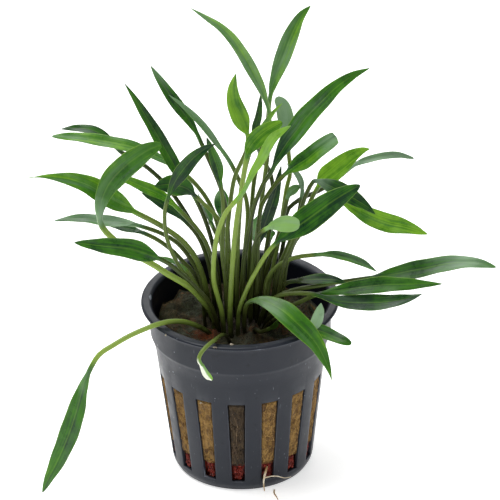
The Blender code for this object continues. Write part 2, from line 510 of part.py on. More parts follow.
def blade_share(t, leaf):
    """How wide the blade is at a share of its length from the tip, against its full width."""
    widest = leaf["widest"]
    if t < widest:
        return math.sin(0.5 * math.pi * t / widest) ** leaf.get("tip", 0.85)
    return math.cos(0.5 * math.pi * (t - widest) / (1 - widest)) ** 1.1


def build_leaf(name, leaf, material):
    """One leaf and its stalk as a closed loft of four-cornered rings."""
    fine = 120
    spine, blade = leaf_spine(leaf, fine)
    stalk = leaf.get("stalk", 1.2)
    face = Vector(leaf["face"]).normalized()
    fold = math.radians(leaf["fold"])
    shares = [1 - TIP_SHARE + (blade - 1 + TIP_SHARE) * step / RINGS_BLADE for step in range(RINGS_BLADE)]
    shares += [blade + (1 - blade) * step / RINGS_STALK for step in range(RINGS_STALK + 1)]
    points = [tuple(spine[0])]
    for share in shares:
        place = min(round(share * fine), fine)
        centre = spine[place]
        along = (spine[max(place - 2, 0)] - spine[min(place + 2, fine)]).normalized()
        side = along.cross(face).normalized()
        up = side.cross(along).normalized()
        t = min(share / blade, 1.0)
        half = max(leaf["width"] / 2 * blade_share(t, leaf), stalk / 2 * min(1.0, 0.2 + t))
        leafy = max(0.0, (half * 2 - stalk) / max(leaf["width"] - stalk, 0.1))
        thick = (1 - leafy) * stalk * min(1.0, t * 1.5) + leafy * BLADE_THICK
        thick = max(thick, 0.3)
        lift = fold * leafy
        out = side * half * math.cos(lift) + up * half * math.sin(lift)
        across = -side * half * math.cos(lift) + up * half * math.sin(lift)
        points += [tuple(centre + out), tuple(centre + up * thick / 2)]
        points += [tuple(centre + across), tuple(centre - up * thick / 2)]
    faces = [(0, 1, 2), (0, 2, 3), (0, 3, 4), (0, 4, 1)]
    rings = len(shares)
    for ring in range(rings - 1):
        for corner in range(4):
            here = 1 + ring * 4 + corner
            beside = 1 + ring * 4 + (corner + 1) % 4
            faces.append((here, beside, beside + 4, here + 4))
    last = 1 + (rings - 1) * 4
    faces.append((last, last + 1, last + 2, last + 3))
    object_from(name, mesh_from(name, points, faces), material)


def build_root(name, root, material):
    """One root as a six-sided tapering tube along a smooth path."""
    count = 8
    path = through([Vector(point) for point in root["path"]], count)
    points = []
    for step, centre in enumerate(path):
        along = (path[min(step + 1, count)] - path[max(step - 1, 0)]).normalized()
        side = along.cross(Vector((0, 0, 1)))
        side = side.normalized() if side.length > 0.2 else Vector((1, 0, 0))
        up = side.cross(along).normalized()
        radius = root["thick"] / 2 * (1 - 0.55 * step / count)
        for corner in range(6):
            turn = 2 * math.pi * corner / 6
            points.append(tuple(centre + side * radius * math.cos(turn) + up * radius * math.sin(turn)))
    faces = []
    for step in range(count):
        for corner in range(6):
            here = step * 6 + corner
            beside = step * 6 + (corner + 1) % 6
            faces.append((here, beside, beside + 6, here + 6))
    faces.append(tuple(range(6)))
    faces.append(tuple(range(count * 6, count * 6 + 6)))
    object_from(name, mesh_from(name, points, faces), material)


def main():
    """Build the pot, what fills it, the leaves and the roots."""
    clear_scene()
    build_pot()
    build_filling()
    for order, (name, leaf) in enumerate(LEAVES.items()):
        shade = 0.8 + 0.4 * (order % 5) / 4
        green = finish_material(name + "_green", (0.05 * shade, 0.16 * shade, 0.02 * shade), 0.45)
        build_leaf(name, leaf, green)
    for name, root in ROOTS.items():
        build_root(name, root, finish_material(name + "_pale", (0.6, 0.45, 0.3), 0.6))


main()
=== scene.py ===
# Potted cryptocoryne: the looks. Sizes are in millimetres here and turned to metres when a mesh is made.
# Each leaf is drawn as the front view shows it, 30.25 degrees above level; run goes from tip to crown.
import math
import random

import bmesh
import bpy
from mathutils import Matrix, Vector, noise


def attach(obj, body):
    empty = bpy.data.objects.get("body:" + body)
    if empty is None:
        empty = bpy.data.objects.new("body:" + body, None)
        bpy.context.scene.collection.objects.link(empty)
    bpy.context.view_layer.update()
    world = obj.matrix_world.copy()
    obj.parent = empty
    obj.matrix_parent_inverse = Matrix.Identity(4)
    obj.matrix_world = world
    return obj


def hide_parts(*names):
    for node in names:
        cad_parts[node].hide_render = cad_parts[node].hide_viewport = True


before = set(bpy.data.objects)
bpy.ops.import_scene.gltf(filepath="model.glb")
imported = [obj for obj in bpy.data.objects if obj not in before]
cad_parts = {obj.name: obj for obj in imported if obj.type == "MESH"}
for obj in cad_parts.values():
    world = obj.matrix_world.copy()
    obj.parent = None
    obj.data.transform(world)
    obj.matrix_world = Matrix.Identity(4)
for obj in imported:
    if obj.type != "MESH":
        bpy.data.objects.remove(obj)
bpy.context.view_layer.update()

mm = 0.001
rnd = random.Random(5)

view = {
    "lookUp": 30.25,            # degrees above level
    "roll": -1.025,             # degrees, the plant's top leans left in the frame
    "target": (2.92, 0, 65.02),
    "distance": 2500,
    "lens": 665.6,              # on a 36 mm sensor
}

light = {
    "worldStrength": 0.28, "worldColour": "#ffffff",
    "keyStrength": 12.5, "keySize": 0.9, "keyPlace": (-0.35, 0.1, 1.1),      # softbox overhead, to the left
    "fillStrength": 1.8, "fillSize": 0.8, "fillPlace": (0.5, -1.0, 0.7),
    "backStrength": 7.0, "backSize": 1.2, "backPlace": (0.0, 1.2, 0.8),       # gives the leaves a cool sheen
}


# sRGB hex to the linear values that Blender's sockets take
def hexColour(code):
    channels = [int(code[i:i + 2], 16) / 255 for i in (1, 3, 5)]
    linear = [c / 12.92 if c <= 0.04045 else ((c + 0.055) / 1.055) ** 2.4 for c in channels]
    return (*linear, 1.0)


# adds a node with its settings and input values; a (node, output) pair as a value makes a link
def addNode(tree, kind, settings=None, **inputs):
    node = tree.nodes.new(kind)
    for name, value in (settings or {}).items():
        setattr(node, name, value)
    for name, value in inputs.items():
        key = int(name[2:]) if name.startswith("in") and name[2:].isdigit() else name.replace("_", " ")
        socket = node.inputs[key]
        if isinstance(value, tuple) and isinstance(value[0], bpy.types.Node):
            tree.links.new(value[0].outputs[value[1]], socket)
        else:
            socket.default_value = value
    return node


def newMaterial(name):
    material = bpy.data.materials.new(name)
    material.use_nodes = True
    material.node_tree.nodes.clear()
    return material, material.node_tree


# joins the finished shader to the output
def finishMaterial(tree, shader):
    addNode(tree, "ShaderNodeOutputMaterial", Surface=(shader, 0))


# a smooth step of value between two ends, as a node
def ramp(tree, value, low, high, outLow=0.0, outHigh=1.0):
    return addNode(tree, "ShaderNodeMapRange", {"interpolation_type": "SMOOTHSTEP"}, in0=value, in1=low, in2=high,
                   in3=outLow, in4=outHigh)


def mixColour(tree, share, first, second, blend="MIX"):
    return addNode(tree, "ShaderNodeMix", {"data_type": "RGBA", "blend_type": blend}, in0=share, in6=first,
                   in7=second)


def sums(tree, operation, first, second):
    return addNode(tree, "ShaderNodeMath", {"operation": operation}, in0=first, in1=second)


# a mesh piece from points in millimetres, on the one body, standing for its nodes
def makePiece(name, points, faces, material, nodes, smooth=40):
    mesh = bpy.data.meshes.new(name)
    mesh.from_pydata([tuple(value * mm for value in point) for point in points], [], faces)
    shape = bmesh.new()
    shape.from_mesh(mesh)
    bmesh.ops.recalc_face_normals(shape, faces=shape.faces[:])
    shape.to_mesh(mesh)
    shape.free()
    mesh.shade_smooth()
    if smooth:
        mesh.set_sharp_from_angle(angle=math.radians(smooth))
    mesh.materials.append(material)
    piece = bpy.data.objects.new(name, mesh)
    bpy.context.scene.collection.objects.link(piece)
    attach(piece, "root")
    if nodes:
        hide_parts(*nodes)
    return piece


# stores one number a point on a piece, for its material to read
def storeValues(piece, name, values):
    layer = piece.data.attributes.new(name, "FLOAT", "POINT")
    layer.data.foreach_set("value", values)


def smoothStep(low, high, value):
    t = min(max((value - low) / (high - low), 0.0), 1.0)
    return t * t * (3 - 2 * t)

leafShapes = {
    "leaf_top_1": dict(
        run=((-12, 121.3), (-7.8, 118.6), (-4, 116), (-0.8, 112.7), (2, 108.5), (4.5, 104), (6.5, 100),
             (8, 96), (8.8, 92.5), (8.4, 84), (7, 74), (5.2, 62), (3.6, 50)),
        foot=2.2, joint=8, back=(10, 9, 7.5, 4, -0.8),
        width=3.4, widest=0.62, face=(0.3, -1, 0.4), fold=14),
    "leaf_top_2": dict(
        run=((20.5, 121.6), (17.6, 118.6), (15, 113.5), (13, 108.5), (11, 103.5), (9.6, 99.5),
             (8.8, 95.5), (8.2, 90), (6.6, 84), (5, 78), (4.1, 73), (3.5, 66), (3, 58), (2.5, 50)),
        foot=2.2, joint=6, back=(19, 17, 13, 7, 1.2),
        width=5.0, widest=0.45, face=(-0.2, -1, 0.3), fold=24),
    "leaf_top_3": dict(
        run=((0, 103.5), (-0.9, 100), (-0.8, 96.5), (0.4, 93), (1.7, 89.8), (2.9, 86.5), (2.4, 82.8),
             (0.8, 79.5), (-0.8, 76), (-1.7, 72), (-2.4, 67), (-3.1, 61), (-3.4, 52), (-3.2, 44)),
        foot=-3.0, joint=5, back=(2, 1, -0.6, -3, -4), width=5.0, widest=0.66, face=(0.2, -1, 0.3), fold=12),
    "leaf_top_4": dict(
        run=((6.6, 98.5), (6.3, 95), (5.8, 92), (5, 89), (5.3, 85), (6.8, 80.6), (8.3, 78), (9.2, 75),
             (9.4, 70), (8, 60), (6.2, 50)),
        foot=4.4, joint=5, back=(16, 15, 12, 5.4, 1), width=2.3, widest=0.5, face=(0, -1, 0.3), fold=20),
    "leaf_top_5": dict(
        run=((10.6, 97.3), (12.3, 95.4), (13.1, 92.4), (13.4, 89), (13.8, 83), (14.2, 77),
             (13.2, 73), (12.5, 69), (11.9, 65.4), (10.8, 59), (9.2, 52), (7.8, 46)),
        foot=6.8, joint=4, back=(20, 18.6, 13, 6.4, -1),
        width=4.6, widest=0.4, face=(0, -1, 0.2), fold=8, tip=0.4),
    "leaf_top_6": dict(
        run=((12.4, 95.5), (10.3, 93.5), (8.3, 91), (5.6, 87), (3.2, 82), (1.4, 75), (0.3, 66), (-0.4, 56),
             (-0.8, 46)),
        foot=-0.8, joint=4, back=(3.5, 3.6, 2.4, 0, -2.4),
        width=1.6, widest=0.5, face=(0, -1, 0.4), fold=10),
    "leaf_right_1": dict(
        run=((35.9, 104.2), (31.5, 102.4), (27, 99.4), (22.9, 95.6), (18.8, 91.5), (16.2, 88.2),
             (13.2, 84.4), (11, 81), (8.9, 76.8), (7.1, 74.4), (5.6, 71.3), (4.4, 68.3), (3.6, 65.2),
             (2.9, 62), (2.2, 58.7), (1.5, 54.3), (1, 49.9)),
        foot=0.9, joint=8, back=(-3, -3, -3.4, -4, -4.6),
        width=5.9, widest=0.62, face=(-0.5, -1, 0.6), fold=14),
    "leaf_right_2": dict(
        run=((26.8, 86.2), (24, 84.4), (21.8, 82.9), (18.6, 80.4), (15.5, 78.5), (12.6, 76.3),
             (9.7, 73.3), (8, 71), (6.3, 68.3), (5.6, 65), (5.2, 60), (4.9, 54), (4.6, 47)),
        foot=4.4, joint=5, back=(5, 3.6, 0.6, -2, -3.4),
        width=4.9, widest=0.62, face=(-0.3, -1, 0.6), fold=10, tip=0.12),
    "leaf_right_3": dict(
        run=((35.9, 82.9), (34, 82.6), (31.2, 81.2), (28.4, 79), (25.9, 77), (23.4, 75), (21.4, 72.6),
             (19, 68), (16.3, 62), (13, 56), (10.4, 50)),
        foot=8.6, joint=6, back=(12, 11, 9, 5.4, 0.8),
        width=6.0, widest=0.72, face=(-0.3, -1, 0.6), fold=12),
    "leaf_right_4": dict(
        run=((51.1, 59.5), (47.5, 60.8), (44, 61.8), (40.3, 62.6), (36, 64.2), (31, 66.8), (27, 69),
             (24.6, 68.6), (22.3, 66.6), (18.6, 62.3), (15.9, 59.3), (14.6, 57.2), (13.4, 54), (12.4, 50.5)),
        foot=10.7, joint=6, back=(-1, 1, 3.4, 3.2, 0.6), width=5.8, widest=0.5, face=(0.2, -0.9, 1),
        fold=12),
    "leaf_right_13": dict(
        run=((36.9, 65.2), (34.6, 67.2), (31.5, 69.2), (28, 71.3), (24.5, 73), (21.8, 74.2), (20.2, 74.2),
             (18.6, 71.5), (17.2, 68), (16.2, 64.2), (15.4, 60), (13.8, 56), (11.8, 51)),
        foot=8.8, joint=6, back=(-3.4, -3, -2.6, -3, -3.8), width=5.2, widest=0.6, face=(0.3, -0.9, 1),
        fold=12),
    "leaf_right_5": dict(
        run=((47.9, 80.2), (44, 81.1), (40, 81), (36, 80.2), (32, 78.9), (29, 76.8), (25.5, 74),
             (21.5, 71.7), (17.5, 70.1), (14.6, 68.2), (13, 66), (12.4, 60), (11, 53), (9.4, 46)),
        foot=8.2, joint=5, back=(18, 15, 12, 8, 3.4), width=2.3, widest=0.5, face=(0, -0.8, 1), fold=16,
        tip=0.5),
    "leaf_right_6": dict(
        run=((13.2, 79.4), (15.2, 77.4), (16.7, 75.2), (17.3, 72.6), (17.1, 70), (15.6, 63), (12.8, 56),
             (9.8, 49)),
        foot=8.6, joint=4, back=(7, 5.4, 3, 0.4, -1.4),
        width=1.7, widest=0.5, face=(0.3, -1, 0.2), fold=10),
    "leaf_right_7": dict(
        run=((17.2, 73.2), (15.6, 72.7), (14.2, 71.6), (13.2, 69.8), (12.3, 66), (10.4, 59), (7.2, 50)),
        foot=6.8, joint=3, back=(7.5, 6.2, 4.6, 3.9, 4), width=2.6, widest=0.5, face=(0, -1, 0.3), fold=8),
    "leaf_right_8": dict(
        run=((32.8, 73), (29, 71), (25, 68.6), (21, 65.8), (17, 63), (13.3, 60.6), (9.5, 57.5),
             (7, 54.5), (4.5, 50.5), (2.5, 46.8), (1, 43.5), (0, 41), (-0.6, 38)),
        foot=-0.8, joint=6, back=(-11, -11, -11, -10.6, -9.8), width=7.3, widest=0.58, face=(-0.3, -1, 0.5),
        fold=8, tip=0.6),
    "leaf_middle_1": dict(
        run=((16.4, 62.8), (12.5, 63), (9.4, 62.6), (7, 61.6), (5.2, 60), (4.1, 57), (3.5, 52), (3, 45)),
        foot=2.6, joint=3, back=(-16, -14.5, -11, -8, -6),
        width=4.6, widest=0.35, face=(0, -1, 0.5), fold=6,
        tip=0.35),
    "leaf_middle_2": dict(
        run=((11.8, 79), (10.9, 75), (9.8, 70.8), (8.3, 66.5), (6.5, 61.5), (4.8, 56), (3.8, 50), (3.3, 44)),
        foot=3.8, joint=5, back=(5, 3.6, 1.6, -0.6, -1.6),
        width=3.6, widest=0.6, face=(0.2, -1, 0.2), fold=12),
    "leaf_right_9": dict(
        run=((37.4, 49.6), (35, 51.2), (32, 52.6), (28, 53.9), (24, 54.6), (20, 54.5), (16, 54.1),
             (13, 53.2), (10.4, 51.8), (8.2, 49.4), (6.9, 46)),
        foot=6.3, joint=5, back=(7, 5, 2, -1.8, -3.3), width=2.9, widest=0.5, face=(0, -0.7, 1), fold=20),
    "leaf_right_10": dict(
        run=((69.5, 50.3), (66, 51.2), (62, 51.7), (58, 51.6), (54, 51.1), (50, 50.3), (46, 49.6),
             (42, 48.9), (38, 48.3), (34, 47.9), (30, 47.4), (26, 46.9), (20, 46), (14, 45), (9.5, 42.6)),
        foot=6.7, joint=9, back=(-2, 1, 0.6, -4.4, -5.2),
        width=5.4, widest=0.62, face=(0.1, -0.7, 1), fold=10,
        tip=0.6),
    "leaf_right_11": dict(
        run=((29, 46.8), (26, 47.6), (22, 47.9), (17, 47.7), (13, 47.2), (11, 45.4), (10.3, 42)),
        foot=10.2, joint=4, back=(-4.4, -3.4, -2.6, -2, -1.6),
        width=3.3, widest=0.45, face=(0, -0.6, 1), fold=10),
    "leaf_right_12": dict(
        run=((54.9, 46.1), (50, 46.1), (45, 46.1), (39, 46.1), (33, 45.6), (28, 45), (24, 44.4),
             (20, 43.6), (16.5, 42), (13, 40.6), (10, 39.2), (7.4, 37.4)),
        foot=5.9, joint=7, back=(-9, -9.4, -9.4, -8.8, -6.2), width=4.8, widest=0.55, face=(0.1, -0.8, 1),
        fold=10),
    "leaf_right_14": dict(
        run=((49.2, 43.5), (45.5, 42.4), (40, 41.5), (34, 41.3), (28, 41.7), (23.5, 42.8), (20, 43.9),
             (16, 44.3), (12, 44), (9, 42.9), (6.4, 40)),
        foot=4.5, joint=6, back=(-12.4, -12.2, -11.4, -9.2, -5.4), width=4.9, widest=0.5,
        face=(0.1, -0.8, 1), fold=10),
    "leaf_front_1": dict(
        run=((24.4, 20.4), (23.6, 23.6), (22.2, 27), (20.4, 30.4), (18, 33.4), (15, 36.4),
             (11.5, 39.6), (8, 41.7), (4.5, 42.6), (1.9, 41.6), (1.1, 37.6)),
        foot=1.0, joint=9, back=(-28, -24.8, -20.2, -14, -8.8), width=6.4, widest=0.6, face=(0.4, -1, 0.8),
        fold=8, tip=1.1),
    "leaf_front_2": dict(
        run=((21.8, 41.6), (21.3, 39.6), (20.6, 37.6), (19.8, 35.4), (18.6, 34), (16.8, 33.8), (14.4, 34.8),
             (11.6, 36.4), (8.8, 36.4)),
        foot=7.4, joint=4, back=(-18.2, -19.9, -19.9, -13, -7), width=4.5, widest=0.55, face=(0.7, -1, 0.1),
        fold=8),
    "leaf_front_3": dict(
        run=((29.8, 30.4), (26, 32), (23, 33.4), (20, 34.6), (17, 36), (14, 37.4), (11, 37.8), (8, 36.4)),
        foot=5.6, joint=4, back=(-21.5, -18.9, -17, -12.6, -7.8),
        width=3.8, widest=0.6, face=(0.2, -0.9, 1),
        fold=8, tip=0.4),
    "leaf_front_4": dict(
        run=((10, 37.2), (9.2, 35.6), (7.4, 34.6), (5.4, 34), (4, 34.6)),
        foot=3.4, joint=2, back=(-16.5, -15.6, -13.4, -11, -8.6), width=1.7, widest=0.5, face=(0.3, -1, 0.4),
        fold=6),
    "leaf_front_5": dict(
        run=((-7.9, 21.3), (-9.2, 22.9), (-10.2, 24.8), (-11.3, 26.9), (-10.6, 28.9), (-8.8, 30.8),
             (-6.9, 32.2), (-5, 33.4), (-3.7, 32.9)),
        foot=-3.0, joint=3, back=(-30, -31, -29, -23.4, -11.6), width=2.2, widest=0.4, face=(-0.3, -1, 0.2),
        fold=16, tip=0.5, stalk=1.1),
    "leaf_left_1": dict(
        run=((-23.1, 106.5), (-20.8, 102.8), (-18, 98.5), (-15.5, 95), (-13, 91.5), (-11, 88.2),
             (-9.8, 85.5), (-8.3, 82), (-6.8, 78.5), (-5.2, 74.5), (-3.9, 70), (-3.1, 64), (-2.8, 55),
             (-2.7, 47)),
        foot=-2.6, joint=6, back=(19, 16, 12, 7.6, 2.6),
        width=3.5, widest=0.5, face=(0.3, -1, 0.3), fold=18),
    "leaf_left_2": dict(
        run=((-18.2, 98.3), (-14.3, 95.2), (-10.8, 91.8), (-8, 88.5), (-5.5, 85), (-3.3, 82), (-1.5, 79),
             (0.1, 75.5), (1.5, 72), (2.3, 69), (2.4, 64), (1.4, 55), (0.6, 47)),
        foot=0.3, joint=6, back=(9, 8.4, 7, 4, 1), width=2.0, widest=0.5, face=(0.3, -1, 0.4), fold=14),
    "leaf_left_3": dict(
        run=((-30.1, 101.7), (-27.8, 98.2), (-25.2, 93.8), (-22.8, 89.8), (-20.5, 85.6), (-18.3, 81.5),
             (-16.5, 78.2), (-13.8, 74), (-11.4, 70), (-9, 64.3), (-7.2, 58), (-5.9, 50)),
        foot=-5.0, joint=8, back=(9, 7.4, 5, 2.4, 0.4),
        width=3.9, widest=0.6, face=(0.4, -1, 0.4), fold=14),
    "leaf_left_4": dict(
        run=((-48, 89.9), (-44.5, 90.1), (-40, 89.6), (-36.5, 88), (-34, 85.9), (-31.5, 83.3),
             (-28, 81.3), (-25, 79.4), (-21, 75.8), (-17.5, 71.4), (-14.4, 66.6), (-11.5, 61.4),
             (-9, 55.4), (-7, 48.6)),
        foot=-5.6, joint=5, back=(26, 21, 14, 7.6, 3.2), width=2.9, widest=0.5, face=(0, -0.8, 1), fold=12),
    "leaf_left_5": dict(
        run=((-50.2, 87.9), (-43.3, 87.5), (-35.6, 86.2), (-28.4, 84.6), (-24, 82.9), (-20.9, 81.3),
             (-17.6, 79.4), (-13.6, 76.4), (-10.6, 73.2), (-8.4, 70), (-6.4, 65.5), (-4.8, 58),
             (-4, 49)),
        foot=-3.6, joint=7, back=(17, 14, 10, 5, -1.2),
        width=3.7, widest=0.45, face=(0.2, -0.8, 1), fold=10, tip=0.5),
    "leaf_left_6": dict(
        run=((-20.2, 84.9), (-23, 83.9), (-26, 82.3), (-30.2, 79.3), (-33.8, 75.8), (-35.9, 72.4),
             (-37, 69.2), (-37.3, 66), (-36.6, 63), (-34.5, 60.5), (-31, 57.5), (-26.5, 54.6),
             (-22.6, 52.3), (-19.2, 50), (-15.7, 47.9), (-12.7, 45.7), (-9.3, 41.6), (-7, 37.6)),
        foot=-7.2, joint=8, back=(-3, -8, -12, -10, -5.8), width=6.9, widest=0.45, face=(0.5, -1, 0.5),
        fold=10, tip=0.5, stalk=1.7),
    "leaf_left_7": dict(
        run=((-56.3, 76.6), (-52, 76.9), (-48, 76.5), (-44.5, 75.8), (-40.5, 74.4), (-37, 72.4),
             (-33.5, 70.2), (-30, 68.2), (-26.9, 66.4), (-22.9, 64.3), (-19.5, 62.2), (-16, 59.6),
             (-13.6, 57), (-11.4, 53.4), (-9.4, 47)),
        foot=-7.4, joint=8, back=(-7, -6, -5, -3.6, -2.6), width=6.4, widest=0.7, face=(0.3, -0.9, 1),
        fold=10, tip=1.5, stalk=1.5),
    "leaf_left_8": dict(
        run=((-50.4, 64.9), (-46, 65.5), (-41.7, 65.5), (-37.6, 64.9), (-33.5, 64.4), (-29.5, 63.9),
             (-25.8, 62.9), (-21, 61.1), (-16.5, 58.2), (-13, 53.6), (-10.4, 47.6)),
        foot=-8.8, joint=6, back=(7, 6, 4, 2, -0.6), width=3.4, widest=0.62, face=(0.1, -0.7, 1), fold=12),
    "leaf_left_9": dict(
        run=((-36, 63.8), (-32, 63), (-28, 62), (-25, 60.9), (-21.5, 59), (-18, 56.2), (-15, 53),
             (-12.4, 49.6)),
        foot=-8.6, joint=3, back=(10.5, 8.6, 6.4, 4, 1.8),
        width=2.4, widest=0.5, face=(0.1, -0.7, 1), fold=12),
    "leaf_left_10": dict(
        run=((-44.2, 59), (-42, 58.7), (-38, 58.1), (-34, 57.6), (-29.8, 57), (-26.8, 56.2),
             (-23.4, 55), (-21, 54), (-18.6, 52.6), (-16.4, 50.7), (-14.1, 48.6), (-11.2, 45.6), (-8, 41.4)),
        foot=-5.4, joint=7, back=(-18, -16, -13.4, -10.6, -7), width=6.0, widest=0.72, face=(0.1, -0.8, 1),
        fold=10, tip=0.7),
    "leaf_left_11": dict(
        run=((-24.7, 54.3), (-21, 54.2), (-17.5, 53.3), (-14.4, 51), (-12, 47.4), (-10.2, 43)),
        foot=-9.6, joint=3, back=(-3.4, -3.6, -3.8, -3.8, -3.6),
        width=1.5, widest=0.5, face=(0, -0.8, 1), fold=8,
        stalk=1.0),
    "leaf_left_12": dict(
        run=((-5.8, 84.7), (-8.5, 83.6), (-12, 81), (-14.7, 78), (-16.8, 75), (-18.3, 72), (-19, 70),
             (-19.7, 67.5), (-19.9, 65), (-19.8, 62.4), (-19.3, 59.4), (-18, 55.6), (-15.6, 51),
             (-12.4, 46.4), (-9, 42)),
        foot=-6.0, joint=6, back=(-6.6, -7.6, -8, -7, -3.9), width=4.4, widest=0.55, face=(0.3, -1, 0.5),
        fold=16, stalk=1.1),
    "leaf_left_13": dict(
        run=((-22.5, 73.8), (-19, 74.2), (-16, 73.8), (-13.5, 72.8), (-11.4, 70.9), (-9.4, 68.9),
             (-7, 66.6), (-5, 64), (-3.4, 60), (-2.2, 52), (-1.6, 45)),
        foot=-1.4, joint=4, back=(-3, -1.6, 0, 0.4, -0.2), width=5.8, widest=0.5, face=(0, -1, 0.6), fold=8,
        stalk=1.1),
    "leaf_left_14": dict(
        run=((-34, 76.3), (-30, 75.6), (-26, 73.8), (-22, 72), (-18.5, 69.8), (-15.6, 66.9),
             (-12, 63), (-9, 58.4), (-7, 52), (-6, 46)),
        foot=-5.4, joint=5, back=(2, 1.6, 0.4, -1, -2.4),
        width=3.5, widest=0.5, face=(0.2, -0.8, 1), fold=14),
    "leaf_left_15": dict(
        run=((-26.3, 72.3), (-22, 69.8), (-18, 67.2), (-14, 63.8), (-11, 60), (-9, 55), (-7.7, 49)),
        foot=-6.8, joint=3, back=(9, 7, 5, 3, 1), width=3.0, widest=0.5, face=(0.2, -0.8, 1), fold=14),
    "leaf_left_16": dict(
        run=((-8.2, 86.7), (-6.8, 82.5), (-5.4, 78), (-4.6, 73.5), (-4.1, 69.5), (-4.2, 64),
             (-4.6, 56), (-3.6, 46)),
        foot=-2.8, joint=3, back=(-2.6, -3, -4, -5, -5.6),
        width=3.4, widest=0.6, face=(0.3, -1, 0.2), fold=20),
    "leaf_middle_3": dict(
        run=((12.2, 90.2), (9.8, 89.1), (7.3, 87.6), (5, 85.6), (3.3, 83.3), (2.4, 80.5), (1.8, 77.4),
             (1, 73), (0.3, 68.6), (-0.3, 65.5), (-0.75, 62.3), (-1.2, 59), (-1.8, 52.9), (-2.1, 49.4),
             (-2.4, 45.8), (-2.6, 42.3), (-2.8, 38)),
        foot=-2.6, joint=5, back=(-6, -7, -8, -9, -9.6),
        width=4.9, widest=0.55, face=(-0.2, -1, 0.4), fold=12,
        tip=0.5, stalk=1.4),
    "leaf_middle_4": dict(
        run=((14.5, 89.2), (11.8, 87.6), (9.7, 86), (8.2, 83.8), (7, 81.5), (5.6, 79.2), (4.1, 77),
             (2.9, 74.6), (1.6, 72.1), (-0.8, 69.2), (-3.1, 66.7), (-4.6, 63.8), (-5.9, 60), (-6.6, 56),
             (-7, 52), (-7, 48), (-6, 43.6), (-5, 39.6)),
        foot=-4.5, joint=9, back=(-12.4, -13, -12.6, -11, -8.6),
        width=2.9, widest=0.3, face=(-0.2, -1, 0.5),
        fold=12, stalk=1.3),
    "leaf_hanging": dict(
        run=((-54.7, -8.8), (-52.9, -5), (-50.6, -0.8), (-48.2, 4.2), (-46.2, 9), (-44.5, 14),
             (-43.1, 18.8), (-41.7, 22.8), (-40, 26.2), (-38, 28.9), (-34, 31.4), (-30, 33.6),
             (-26, 35.3), (-22, 36.7), (-18, 37.3), (-14, 36.8), (-10, 35)),
        foot=-7.2, joint=8, back=(-22.6, -22.8, -20.4, -16, -8.4), width=5.9, widest=0.52,
        face=(-0.5, -1, 0.5), fold=8, tip=0.7, stalk=1.4),
    "leaf_back_1": dict(
        run=((-11, 72), (-9.4, 68), (-7, 62.5), (-4, 56), (-1.6, 49)),
        foot=-0.8, joint=2, back=(24, 18, 12, 7, 3.8), width=4.5, widest=0.5, face=(0.2, 0.6, 1), fold=10),
    "leaf_back_2": dict(
        run=((5.6, 66), (5.2, 62), (4.4, 57.5), (3.4, 52), (2.8, 47)),
        foot=2.5, joint=2, back=(30, 23, 15, 8.4, 4.6), width=4.5, widest=0.5, face=(0, 0.6, 1), fold=10),
    "leaf_back_3": dict(
        run=((-4.4, 74), (-4.6, 70), (-4.4, 64), (-4, 56), (-3.6, 49)),
        foot=-3.4, joint=2, back=(35, 28, 18, 10, 5.4), width=4.4, widest=0.5, face=(0, 0.6, 1), fold=10),
    "leaf_back_4": dict(
        run=((9, 62), (8.2, 58.6), (7, 54.4), (6, 49.4)),
        foot=5.2, joint=1, back=(22, 17, 12, 8.4, 5.8),
        width=4.2, widest=0.5, face=(-0.2, 0.6, 1), fold=10),
}

